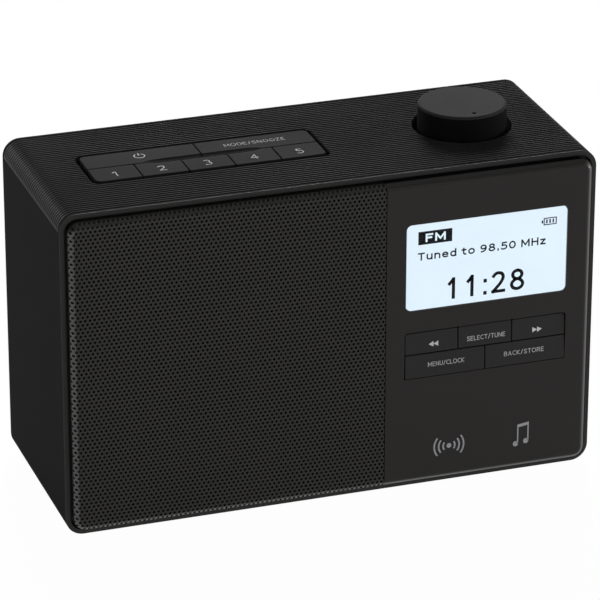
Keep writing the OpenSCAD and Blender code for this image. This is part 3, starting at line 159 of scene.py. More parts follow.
class Amount:
    """A number that flows through a node tree, for plain sums and comparisons."""

    def __init__(self, socket):
        self.socket = socket

    def through(self, operation, *others):
        """The amount put through one math node, with any others after it."""
        tree = self.socket.id_data
        return Amount(add_node(tree, "ShaderNodeMath", (self, *others), operation=operation).outputs[0])

    __add__ = partialmethod(through, "ADD")
    __sub__ = partialmethod(through, "SUBTRACT")
    __mul__ = partialmethod(through, "MULTIPLY")
    __truediv__ = partialmethod(through, "DIVIDE")
    __gt__ = partialmethod(through, "GREATER_THAN")
    __lt__ = partialmethod(through, "LESS_THAN")


def emptied(owner):
    """The node tree of a new material or world, emptied, and the socket that takes its surface."""
    owner.use_nodes = True
    tree = owner.node_tree
    tree.nodes.clear()
    kind = "World" if isinstance(owner, bpy.types.World) else "Material"
    return tree, tree.nodes.new("ShaderNodeOutput" + kind).inputs["Surface"]


def seen_directly(tree):
    """1 for rays from the camera, off a mirror or through glass, and 0 for rays that light things."""
    path = tree.nodes.new("ShaderNodeLightPath").outputs
    seen = Amount(path["Is Camera Ray"]).through("MAXIMUM", path["Is Glossy Ray"])
    return seen.through("MAXIMUM", path["Is Transmission Ray"])


def mixed(share, shader, other, surface_socket):
    """Two shaders mixed by share, as the tree's surface."""
    parts = (share, shader.outputs[0], other.outputs[0])
    feed(surface_socket, add_node(shader.id_data, "ShaderNodeMixShader", parts).outputs[0])


world = bpy.data.worlds.new("studio")
bpy.context.scene.world = world
tree, out = emptied(world)
direction = tree.nodes.new("ShaderNodeTexCoord").outputs["Generated"]
height = add_node(tree, "ShaderNodeSeparateXYZ", (direction,)).outputs["Z"]
horizon, overhead = (
    Amount(add_node(tree, "ShaderNodeMapRange", (height, *band)).outputs[0]) for band in SKY_BANDS
)
lit = add_node(tree, "ShaderNodeBackground", (SKY_TINT, SKY_LIGHT))
seen = add_node(tree, "ShaderNodeBackground", ((1, 1, 1, 1), horizon + overhead))
mixed(seen_directly(tree), lit, seen, out)

R = FLOOR_REACH
floor_mesh = bpy.data.meshes.new("floor")
floor_mesh.from_pydata([(-R, -R, 0), (R, -R, 0), (R, R, 0), (-R, R, 0)], [], [(0, 1, 2, 3)])
floor = placed("floor", floor_mesh)
pale_paper = bpy.data.materials.new("pale_paper")
tree, out = emptied(pale_paper)
matt = add_node(tree, "ShaderNodeBsdfDiffuse", (FLOOR_GREY,))
white = add_node(tree, "ShaderNodeEmission", {"Strength": 1.0})
mixed(seen_directly(tree) * FLOOR_WHITE, matt, white, out)
floor_mesh.materials.append(pale_paper)
floor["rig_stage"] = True

for name, place, size, power in LAMPS:
    lamp_data = bpy.data.lights.new(name, "AREA")
    lamp_data.size, lamp_data.energy = size, power
    lamp = placed(name, lamp_data)
    lamp.location = place
    lamp.rotation_mode = "QUATERNION"
    lamp.rotation_quaternion = (aim - Vector(place)).to_track_quat("-Z", "Y")

# ---------------------------------------------------------------- casing sleeve
# Four walls moulded in one piece from black plastic, open at both ends. Its top is ribbed across
# the whole depth, and the ribs run round both upper corners and die out where the sides begin.

WALL = 2.0
CASE_R, RIM_R, LIP_R = 6.8, 0.3, 0.6
INNER_BEVEL = 0.25
RIB_PITCH, RIB_GAP, RIB_DEPTH = 1.808, 0.8, 0.65
RIB_STEPS = 8
PLAIN_BAND = 2.03
SIDE_GUARD = 0.4
POCKET_GAP, POCKET_R = 1.6, 3.9
WELL_R = 19.1
CUT_DEPTH = 6
SHEEN_WIDTH, RUBBED_WIDTH = 4, 2.6


def mm(vector):
    """A point or a size of the frame, in millimetres."""
    return vector * 1000


def box_of(node):
    """A CAD node's lowest and highest corners, in millimetres."""
    return [mm(corner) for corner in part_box(node)]


def round_ring(plane, x0, x1, v0, v1, radius, depth, steps=8, inset=0.0):
    """A rounded rectangle as a ring of points: in the XZ plane at y = depth, or in XY at z = depth.
    radius is one number, or four from the corner at x1, v1 onward, against the clock."""
    radii = radius if isinstance(radius, tuple) else (radius,) * 4
    x0, x1, v0, v1 = x0 + inset, x1 - inset, v0 + inset, v1 - inset
    points = []
    for k, (cx, cv) in enumerate(((x1, v1), (x0, v1), (x0, v0), (x1, v0))):
        r = max(radii[k] - inset, 0.02)
        ox = cx + (r if cx == x0 else -r)
        ov = cv + (r if cv == v0 else -r)
        for step in range(steps + 1):
            a = math.radians(90 * (k + step / steps))
            x, v = ox + r * math.cos(a), ov + r * math.sin(a)
            points.append((x, depth, v) if plane == "XZ" else (x, v, depth))
    return points


def skin(rings, closed=False):
    """The mesh through rings of points, in millimetres, capped at both ends or joined end to end."""
    n = len(rings[0])
    pairs = list(zip(range(len(rings)), range(1, len(rings))))
    if closed:
        pairs.append((len(rings) - 1, 0))
    faces = [
        (a * n + i, a * n + (i + 1) % n, b * n + (i + 1) % n, b * n + i)
        for a, b in pairs for i in range(n)
    ]
    if not closed:
        faces += [tuple(range(n)), tuple(range((len(rings) - 1) * n, len(rings) * n))]
    mesh = bpy.data.meshes.new("skin")
    mesh.from_pydata([p for ring in rings for p in ring], [], faces)
    work = bmesh.new()
    work.from_mesh(mesh)
    bmesh.ops.recalc_face_normals(work, faces=work.faces)
    work.to_mesh(mesh)
    work.free()
    return mesh


def solid(name, rings, closed=False):
    """A solid piece through rings of points in millimetres."""
    mesh = skin(rings, closed)
    mesh.transform(Matrix.Scale(0.001, 4))
    return placed(name, mesh)


def applied(piece):
    """Makes what the piece's modifiers show its own plain mesh."""
    graph = bpy.context.evaluated_depsgraph_get()
    mesh = bpy.data.meshes.new_from_object(piece.evaluated_get(graph))
    piece.modifiers.clear()
    piece.data = mesh
    return piece


def combine(piece, others, operation="DIFFERENCE"):
    """Cuts the other solids from the piece, or adds them to it, and removes them."""
    for other in others:
        step = piece.modifiers.new("cut", "BOOLEAN")
        step.operation, step.solver, step.object = operation, "MANIFOLD", other
    applied(piece)
    for other in others:
        bpy.data.objects.remove(other)
    return piece


def softened(piece, angle=38):
    """Smooth shading that keeps flat faces flat and edges sharper than the angle sharp."""
    piece.data.shade_smooth()
    piece.data.set_sharp_from_angle(angle=math.radians(angle))
    weigh = piece.modifiers.new("flat", "WEIGHTED_NORMAL")
    weigh.keep_sharp = True
    return applied(piece)


def rounding(radius, steps=5):
    """The rounding of an edge as pairs: how far in from the side, and how far below the face."""
    turns = [math.radians(90 * k / steps) for k in range(steps + 1)]
    return [(radius * (1 - math.cos(t)), radius * (1 - math.sin(t))) for t in turns]


def node_group(name, **sizes):
    """An empty geometry tree with named inputs for its sizes, as (tree, inputs, output)."""
    tree = bpy.data.node_groups.new(name, "GeometryNodeTree")
    tree.interface.new_socket("Geometry", in_out="INPUT", socket_type="NodeSocketGeometry")
    for label, value in sizes.items():
        kind = {int: "NodeSocketInt", float: "NodeSocketFloat"}.get(type(value), "NodeSocketMaterial")
        label = label.replace("_", " ").capitalize()
        tree.interface.new_socket(label, in_out="INPUT", socket_type=kind).default_value = value
    tree.interface.new_socket("Geometry", in_out="OUTPUT", socket_type="NodeSocketGeometry")
    sockets = map(Amount, tree.nodes.new("NodeGroupInput").outputs)
    given = SimpleNamespace(**dict(zip(["geometry", *sizes], sockets)))
    return tree, given, tree.nodes.new("NodeGroupOutput").inputs[0]


def point_axes(tree, kind):
    """The X, Y and Z of every point's position or normal in a geometry tree."""
    vector = tree.nodes.new("GeometryNodeInput" + kind).outputs[0]
    return [Amount(axis) for axis in add_node(tree, "ShaderNodeSeparateXYZ", (vector,)).outputs]


def finish_group(geometry, given, done):
    """Ends a geometry tree: its instances become real and get their material."""
    real = add_node(geometry.id_data, "GeometryNodeRealizeInstances", (geometry,))
    coat = {"Geometry": real.outputs[0], "Material": given.material}
    feed(done, add_node(geometry.id_data, "GeometryNodeSetMaterial", coat).outputs[0])


def grown(piece, tree, **sizes):
    """Keeps what a geometry tree makes of the piece's mesh, with sizes in millimetres."""
    step = piece.modifiers.new(tree.name, "NODES")
    step.node_group = tree
    for item in tree.interface.items_tree:
        value = sizes.get(item.name.replace(" ", "_").lower())
        if item.in_out == "INPUT" and value is not None:
            step[item.identifier] = value / 1000 if isinstance(value, float) else value
    return applied(piece)


def surface(name, colour, roughness, specular, **others):
    """A new material with one principled shader, as (material, shader, object coordinates)."""
    made = bpy.data.materials.new(name)
    made.diffuse_color = (*colour, 1)
    tree, out = emptied(made)
    shader = add_node(tree, "ShaderNodeBsdfPrincipled", {
        "Base Color": (*colour, 1), "Roughness": roughness, "Specular IOR Level": specular,
        **{name.replace("_", " "): value for name, value in others.items()},
    })
    feed(out, shader.outputs[0])
    return made, shader, tree.nodes.new("ShaderNodeTexCoord").outputs["Object"]


def srgb(code):
    """The linear colour of a code such as 2b2a29."""
    parts = [int(code[k:k + 2], 16) / 255 for k in (0, 2, 4)]
    return tuple(c / 12.92 if c <= 0.04045 else ((c + 0.055) / 1.055) ** 2.4 for c in parts)


def shades(colour, *shares):
    """The colour made darker or lighter by each share."""
    return [tuple(min(c * share, 1) for c in colour) for share in shares]


def noise(where, scale, detail=2.0, roughness=0.5):
    """An uneven value over the surface, mostly between 0.3 and 0.7."""
    return add_node(where.id_data, "ShaderNodeTexNoise", {
        "Scale": scale, "Detail": detail, "Roughness": roughness, "Vector": where,
    }).outputs["Fac"]


def spread(value, low, high):
    """A noise's value stretched to the range from low to high."""
    return add_node(value.id_data, "ShaderNodeMapRange", (value, 0.3, 0.7, low, high)).outputs[0]


def tinted(shader, value, dark, light, socket="Base Color"):
    """Colours the shader between dark and light."""
    ends = {0: value, 6: (*dark, 1), 7: (*light, 1)}
    mix = add_node(shader.id_data, "ShaderNodeMix", ends, data_type="RGBA")
    feed(shader.inputs[socket], mix.outputs[2])


def mottled(shader, value, dark, light, socket="Base Color"):
    """Colours the shader between dark and light by a noise's value."""
    tinted(shader, spread(value, 0.0, 1.0), dark, light, socket)


def bumped(shader, height, strength, distance):
    """Gives the shader's surface a fine relief."""
    relief = {"Strength": strength, "Distance": distance, "Height": height}
    feed(shader.inputs["Normal"], add_node(shader.id_data, "ShaderNodeBump", relief).outputs[0])


def moulded(name, code, roughness, specular, grain, grain_size, cloud=0.10):
    """Moulded plastic: a fine sparked grain, slightly uneven colour and gloss."""
    colour = srgb(code)
    made, shader, where = surface(name, colour, roughness, specular)
    fine_grain = noise(where, 1000 / grain_size, 3.0, 0.6)
    broad = noise(where, 22.0, 3.0)
    fleck = Amount(fine_grain).through("MULTIPLY_ADD", 0.5, Amount(broad) * 0.5)
    mottled(shader, fleck.socket, *shades(colour, 1 - cloud, 1 + cloud))
    feed(shader.inputs["Roughness"], spread(broad, roughness - 0.04, roughness + 0.04))
    bumped(shader, fine_grain, grain, 0.00004)
    return made


def painted(piece, *materials):
    """Gives the piece these finishes only."""
    piece.data.materials.clear()
    for material in materials:
        piece.data.materials.append(material)
    return piece


case_plastic = moulded("case_plastic", "262626", 0.76, 0.03, 0.2, 0.4)
rim_plastic = moulded("rim_plastic", "262524", 0.46, 0.17, 0.08, 0.3)
# The sides, the bottom, the inside and the plain bands at front and back are coloured a shade darker
# than the ribbed top: painted shade.
side_plastic = moulded("side_plastic", "222222", 0.8, 0.008, 0.2, 0.4)
corner_plastic = moulded("corner_plastic", "262626", 0.6, 0.06, 0.15, 0.4)
rubbed_plastic = moulded("rubbed_plastic", "262626", 0.52, 0.12, 0.15, 0.4)

x0, y0, z0 = mm(case_lo)
x1, y1, z1 = mm(case_hi)


def wall_ring(inset, y, steps=12):
    """One ring of the walls, with a point just under each upper corner that keeps the side plain."""
    ring = round_ring("XZ", x0 + inset, x1 - inset, z0 + inset, z1 - inset, CASE_R - inset, y, steps)
    ring.insert(2 * (steps + 1), (x0 + inset, y, z1 - CASE_R - SIDE_GUARD))
    return ring + [(x1 - inset, y, z1 - CASE_R - SIDE_GUARD)]


ribs = math.floor((y1 - y0 - 2 * PLAIN_BAND) / RIB_PITCH + 0.5) + 1
first_rib, last_rib = ((y0 + y1) / 2 + way * (ribs - 1) / 2 * RIB_PITCH for way in (-1, 1))
rows = [first_rib + RIB_PITCH * (k / RIB_STEPS - 0.5) for k in range(-4, RIB_STEPS * ribs + 9)]
outline = [(inset, y0 + drop) for inset, drop in reversed(rounding(RIM_R, 4))]
outline += [(0, y) for y in rows if y0 + RIM_R + 0.02 < y < y1 - RIM_R - 0.02]
outline += [(inset, y1 - drop) for inset, drop in rounding(RIM_R, 4)]
outline += [(WALL - INNER_BEVEL, y1), (WALL, y1 - INNER_BEVEL)]
outline += [(WALL, y0 + INNER_BEVEL), (WALL - INNER_BEVEL, y0)]
sleeve = solid("casing_sleeve_ribbed", [wall_ring(inset, y) for inset, y in outline], closed=True)

rib_tree, given, done = node_group(
    "ribs", pitch=0.0018, gap=0.0008, depth=0.0003, first=0.0, last=1.0, material=None
)
_, y, z = point_axes(rib_tree, "Position")
off_middle = ((y - given.first) / given.pitch + 0.5).through("FRACT") - 0.5
half_gap = given.gap * 0.5
groove = Amount(add_node(
    rib_tree, "ShaderNodeMapRange",
    (off_middle.through("ABSOLUTE") * given.pitch, half_gap * 0.6, half_gap * 1.3, 1.0, 0.0),
    interpolation_type="SMOOTHSTEP",
).outputs[0])
across, _, upright = point_axes(rib_tree, "Normal")
ribbed = (upright > 0.02) * (y > given.pitch.through("MULTIPLY_ADD", -0.5, given.first))
ribbed = ribbed * (y < given.pitch.through("MULTIPLY_ADD", 0.5, given.last))
fade = (upright * 3.0).through("MINIMUM", 1.0)
sink = groove * given.depth * ribbed * (z > 0.1) * fade * -1.0
down = add_node(rib_tree, "ShaderNodeCombineXYZ", {"X": sink * across, "Z": sink * upright})
moved = {"Geometry": given.geometry, "Offset": down.outputs[0]}
finish_group(add_node(rib_tree, "GeometryNodeSetPosition", moved).outputs[0], given, done)

grown(
    sleeve, rib_tree, pitch=RIB_PITCH, gap=RIB_GAP, depth=RIB_DEPTH, first=first_rib, last=last_rib,
    material=case_plastic,
)


def flared(plane, x0, x1, v0, v1, radius, low, face, lip):
    """A cutter for an opening whose edge at the face is rounded by lip."""
    sign = 1 if face > low else -1
    levels = [(low, 0)] + [(face - sign * drop, -out) for out, drop in rounding(lip, 4)]
    levels.append((face + sign * 2, -lip))
    return solid("cutter", [
        round_ring(plane, x0, x1, v0, v1, radius, depth, 10, inset) for depth, inset in levels
    ])


keys_lo, keys_hi = box_of("key_preset_1")[0], box_of("key_snooze")[1]
pocket = [
    keys_lo.x - POCKET_GAP, keys_hi.x + POCKET_GAP, keys_lo.y - POCKET_GAP, keys_hi.y + POCKET_GAP
]
knob_lo, knob_hi = box_of("volume_knob")
knob_x, knob_y = (knob_lo.x + knob_hi.x) / 2, (knob_lo.y + knob_hi.y) / 2
well = (knob_x - WELL_R, knob_x + WELL_R, knob_y - WELL_R, knob_y + WELL_R)
combine(sleeve, [
    flared("XY", *pocket, POCKET_R, z1 - CUT_DEPTH, z1, LIP_R),
    flared("XY", *well, WELL_R - 0.001, z1 - CUT_DEPTH, z1, LIP_R),
])
painted(sleeve, case_plastic, rim_plastic, side_plastic, corner_plastic, rubbed_plastic)
for face in sleeve.data.polygons:
    x, y, z = mm(face.center)
    if not y0 + RIM_R < y < y1 - RIM_R:
        finish = rim_plastic
    # Faces below the upper corners or outside the ribbed rows take the darker side colour, which is
    # painted shade.
    elif z < z1 - CASE_R or not first_rib - 0.5 < y < last_rib + 0.5:
        finish = side_plastic
    elif x < x0 + RUBBED_WIDTH:
        finish = rubbed_plastic
    else:
        finish = corner_plastic if abs(x) > x1 - SHEEN_WIDTH else case_plastic
    face.material_index = sleeve.data.materials.find(finish.name)
softened(sleeve, 50)
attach(sleeve, "radio")
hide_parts("casing_sleeve")

# ---------------------------------------------------------------- feet
# Four soft rubber pads under the casing. They are moulded apart and pressed into shallow seats, so
# that they stand a little proud and keep the radio from sliding.


def copy_of(node, name):
    """A merged copy of a CAD node's mesh, as a new piece that can be cut, rounded and shaded."""
    mesh = frame["nodes"][node].data.copy()
    work = bmesh.new()
    work.from_mesh(mesh)
    bmesh.ops.remove_doubles(work, verts=work.verts, dist=2e-6)
    work.to_mesh(mesh)
    work.free()
    return placed(name, mesh)


def fitted(piece, node, replace=True):
    """Puts a finished piece on the body of a CAD node, in that node's place."""
    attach(piece, frame["nodes"][node]["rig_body"])
    if replace:
        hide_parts(node)


def finished(piece, node, material, angle=38):
    """Paints and shades a shaped piece, and puts it in the node's place."""
    fitted(softened(painted(piece, material), angle), node)


def fine(material, *nodes, angle=38):
    """Copies of CAD nodes with smooth curves and their finish, in the nodes' place."""
    for node in nodes:
        finished(copy_of(node, node + "_fine"), node, material, angle)


fine(moulded("foot_rubber", "1c1c1c", 0.85, 0.1, 0.35, 0.5, 0.08), "feet")

# ---------------------------------------------------------------- front baffle and speaker
# A moulded plate carries the whole front. The speaker is screwed to it over a foam gasket: a
# pressed steel basket, a paper cone on a rubber surround, a dust cap and a ferrite magnet. A thin
# woven cloth is stretched over the plate, behind the grille.

CLOTH_THREAD = 0.5


def coated(material, *nodes):
    """Gives CAD nodes whose shape stays as it is their finish."""
    for node in nodes:
        mesh = frame["nodes"][node].data
        for k in range(len(mesh.materials)):
            mesh.materials[k] = material


def wave(where, direction, period):
    """Bands across X, Y or Z, one each period of so many millimetres."""
    bands = {"Scale": 2 * math.pi / 20 / (period / 1000), "Vector": where}
    node = add_node(where.id_data, "ShaderNodeTexWave", bands, bands_direction=direction)
    return node.outputs["Fac"]


def metal(name, code, roughness, streak=(1, 1, 1), patchy=0.05):
    """Bare or plated metal, with fine marks drawn out along the smallest number of streak."""
    colour = srgb(code)
    made, shader, where = surface(name, colour, roughness, 0.5, Metallic=1.0)
    drawn_out = add_node(shader.id_data, "ShaderNodeMapping", {"Scale": streak, "Vector": where})
    marks = noise(drawn_out.outputs[0], 1800.0, 3.0, 0.6)
    mottled(shader, marks, *shades(colour, 1 - patchy, 1 + patchy))
    uneven = spread(noise(where, 60.0, 3.0), roughness * 0.8, roughness * 1.2)
    feed(shader.inputs["Roughness"], uneven)
    bumped(shader, marks, 0.06, 0.00002)
    return made


inner_plastic = moulded("inner_plastic", "2c2c2e", 0.55, 0.25, 0.1, 0.4, 0.06)
pressed_steel = metal("pressed_steel", "8c8f93", 0.38)
plated_steel = metal("plated_steel", "c9c8c4", 0.26)

cloth, shader, where = surface("speaker_cloth", srgb("141414"), 0.95, 0.05)
thread = Amount(wave(where, "X", CLOTH_THREAD)).through("MAXIMUM", wave(where, "Z", CLOTH_THREAD))
tinted(shader, thread, srgb("050505"), srgb("161616"))
bumped(shader, thread, 0.5, 0.0001)
coated(cloth, "grille_cloth")
coated(inner_plastic, "front_baffle")
coated(moulded("gasket_foam", "202020", 0.95, 0.05, 0.6, 0.7, 0.2), "speaker_gasket")
coated(moulded("surround_rubber", "1e1e1e", 0.7, 0.2, 0.1, 0.5, 0.05), "speaker_surround")
coated(moulded("cone_paper", "38383a", 0.9, 0.08, 0.5, 0.9, 0.18), "speaker_cone", "speaker_dust_cap")
coated(pressed_steel, "speaker_basket")
coated(moulded("ferrite", "49494c", 0.6, 0.4, 0.3, 0.5, 0.12), "speaker_magnet")

# ---------------------------------------------------------------- speaker grille
# A sheet of black-painted steel, punched all over with small staggered holes and then formed over
# the front's rounded edge, so that the holes run out over it. It is made as an upper and a lower
# half of one sheet.

SHEET = 0.8
FRONT_R, EDGE_R = 4.6, 2.9
HOLE_PITCH, HOLE_ROW, HOLE_D = 1.794, 1.518, 1.06
HOLE_FROM = (0.799, 0.298)
PUNCH_DEPTH, PUNCH_PROUD = 3.0, 0.4
SIDE_DEPTH = 3.1
LOWER_ROWS = 42

grille_lo, grille_hi = box_of("speaker_grille")
front_x = box_of("control_panel")[1].x
y_front, y_behind = grille_lo.y, grille_hi.y
front_z0, front_z1 = grille_lo.z, grille_hi.z


def front_block(name, inset, y_end):
    """The whole front as one block with a rounded edge, drawn in by inset on its faces and sides."""
    levels = [(0, y_end)] + [(i, y_front + inset + d) for i, d in rounding(EDGE_R - inset, 8)]
    return solid(name, [
        round_ring("XZ", -front_x, front_x, front_z0, front_z1, FRONT_R, y, 12, inset + i)
        for i, y in levels
    ])


def slab(x0, x1, y0, y1, z0, z1):
    """A plain block to cut or to keep with."""
    return solid("block", [[(x0, y, z0), (x1, y, z0), (x1, y, z1), (x0, y, z1)] for y in (y0, y1)])


punch_tree, given, done = node_group(
    "perforation", across=10, up=10, pitch=0.0018, row=0.0015, diameter=0.001, depth=0.003,
    from_x=0.0, from_y=0.0, from_z=0.0, low_z=0.0, high_z=1.0, left_x=-1.0, right_x=1.0,
    material=None,
)
index = Amount(punch_tree.nodes.new("GeometryNodeInputIndex").outputs[0])
up = (index / given.across).through("FLOOR")
column = index - up * given.across + up.through("MODULO", 2.0) * 0.5
place = add_node(punch_tree, "ShaderNodeCombineXYZ", (
    column * given.pitch + given.from_x, given.from_y, up * given.row + given.from_z,
))
count = given.across * given.up
spots = add_node(punch_tree, "GeometryNodePoints", {"Count": count, "Position": place.outputs[0]})
x, _, z = point_axes(punch_tree, "Position")
outside = z < given.low_z
for beyond in (z > given.high_z, x < given.left_x, x > given.right_x):
    outside = outside.through("MAXIMUM", beyond)
clear = add_node(punch_tree, "GeometryNodeDeleteGeometry", {
    "Geometry": spots.outputs[0], "Selection": outside,
}, domain="POINT")
pin = add_node(punch_tree, "GeometryNodeMeshCylinder", {
    "Vertices": 12, "Radius": given.diameter * 0.5, "Depth": given.depth,
})
pins = add_node(punch_tree, "GeometryNodeInstanceOnPoints", {
    "Points": clear.outputs[0], "Instance": pin.outputs["Mesh"], "Rotation": (math.pi / 2, 0, 0),
})
real = add_node(punch_tree, "GeometryNodeRealizeInstances", (pins.outputs[0],))
punch = add_node(punch_tree, "GeometryNodeMeshBoolean", {
    "Mesh 1": given.geometry, "Mesh 2": real.outputs[0],
}, operation="DIFFERENCE", solver="MANIFOLD")
finish_group(punch.outputs["Mesh"], given, done)

grille_paint = moulded("grille_paint", "252422", 0.42, 0.22, 0.06, 0.25, 0.12)
# The grille's rolled edge is coloured lighter than its face as a painted highlight, and is glossier as
# well.
grille_rolled_edge_highlight = moulded("grille_edge_paint", "343332", 0.36, 0.6, 0.04, 0.25, 0.12)


def shine_edges(piece, material):
    """Gives the rolled edge of the front its own glossier finish; on the grille that finish is also
    lighter in colour, a painted highlight.
    """
    piece.data.materials.append(material)
    for face in piece.data.polygons:
        on_roll = -0.93 < face.normal.y < 0.1 and face.normal.z < 0.3
        if on_roll and face.center.y * 1000 < y_front + EDGE_R:
            face.material_index = len(piece.data.materials) - 1


across = math.ceil((grille_hi.x + front_x) / HOLE_PITCH) + 2
rows_up = math.ceil((front_z1 - front_z0) / HOLE_ROW) + 2
first_column = math.floor((-front_x - HOLE_FROM[0]) / HOLE_PITCH)
first_row = math.floor((front_z0 - HOLE_FROM[1]) / HOLE_ROW)
first_row -= first_row % 2
z_split = HOLE_FROM[1] + HOLE_ROW * (first_row + LOWER_ROWS + 0.5)
for name, low, high in (("lower", front_z0 - 1, z_split), ("upper", z_split, front_z1 + 1)):
    sheet = front_block("speaker_grille_" + name, 0, y_front + SIDE_DEPTH)
    combine(sheet, [front_block("inside", SHEET, y_behind + 1)])
    half = slab(mm(-case_hi.x), grille_hi.x, y_front - 1, y_behind + 2, low, high)
    combine(sheet, [half], "INTERSECT")
    grown(
        sheet, punch_tree, across=across, up=rows_up, pitch=HOLE_PITCH, row=HOLE_ROW,
        diameter=HOLE_D, depth=PUNCH_DEPTH, material=grille_paint,
        from_x=HOLE_FROM[0] + first_column * HOLE_PITCH,
        from_y=y_front + PUNCH_DEPTH / 2 - PUNCH_PROUD,
        from_z=HOLE_FROM[1] + first_row * HOLE_ROW,
        low_z=max(low, front_z0), high_z=min(high, front_z1),
        left_x=-front_x, right_x=grille_hi.x + 0.1,
    )
    shine_edges(sheet, grille_rolled_edge_highlight)
    softened(sheet, 32)
    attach(sheet, "radio")
    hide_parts("speaker_grille")

# ---------------------------------------------------------------- control panel
# The plain right half of the front, moulded in satin black plastic, with the display's window and
# one opening for the five keys. Posts behind it take the screws.

WINDOW_R, WINDOW_LIP, LENS_LIP = 2.0, 0.25, 1.4
KEY_GAP = 0.2
FIELD_R, FIELD_DROP = 1.5, 1.0
OPENING_DEPTH = 1.5

panel = copy_of("control_panel", "control_panel_satin")
combine(panel, [front_block("rounder_edge", -0.02, y_front + 60)], "INTERSECT")
lens_lo, lens_hi = box_of("display_lens")
window = (lens_lo.x + LENS_LIP, lens_hi.x - LENS_LIP, lens_lo.z + LENS_LIP, lens_hi.z - LENS_LIP)
menu_lo, back_hi, next_hi = box_of("key_menu")[0], box_of("key_back")[1], box_of("key_next")[1]
field = (menu_lo.x, next_hi.x, menu_lo.z, next_hi.z - FIELD_DROP)
opening = [edge + way * KEY_GAP for edge, way in zip(field, (-1, 1, -1, 1))]
corners = (FIELD_R + KEY_GAP, FIELD_R + KEY_GAP, 0.1, 0.1)
combine(panel, [
    flared("XZ", *window, WINDOW_R, y_front + OPENING_DEPTH, y_front, WINDOW_LIP),
    flared("XZ", *opening, corners, y_front + OPENING_DEPTH, y_front, 0.1),
])
painted(panel, moulded("panel_plastic", "22201f", 0.42, 0.17, 0.05, 0.3, 0.05))
shine_edges(panel, moulded("panel_edge_plastic", "22201f", 0.36, 0.5, 0.04, 0.3, 0.05))
softened(panel, 30)
fitted(panel, "control_panel")

# ---------------------------------------------------------------- display
# A clear acrylic window lies flush in the panel. Close behind it a lit liquid-crystal picture
# shows the band, the station's frequency, the time and the battery.

COVER, COVER_EDGE, COVER_GAP = 0.35, 0.12, 0.12
PICTURE_GAP, SEAT_T = 0.02, 0.8
PRINT, PRINT_GAP = 0.03, 0.005
WORD_GAP = 0.42
ASIDE, BELOW = 0.12, -0.16
BATTERY = (84.85, 105.37)


def printed(name, marks, material, node):
    """Makes several printed marks one piece, which moves with a CAD node that stays."""
    work = bmesh.new()
    for part in marks:
        work.from_mesh(part)
    mesh = bpy.data.meshes.new(name)
    work.to_mesh(mesh)
    work.free()
    fitted(painted(placed(name, mesh), material), node, replace=False)


def laid(mesh, plane, depth):
    """Turns a mark drawn in the XY plane, in millimetres, into its place on the front or on top."""
    if plane == "XZ":
        mesh.transform(Matrix(((1, 0, 0, 0), (0, 0, -1, depth), (0, 1, 0, 0), (0, 0, 0, 1))))
    else:
        mesh.transform(Matrix.Translation((0, 0, depth)))
    mesh.transform(Matrix.Scale(0.001, 4))
    return mesh


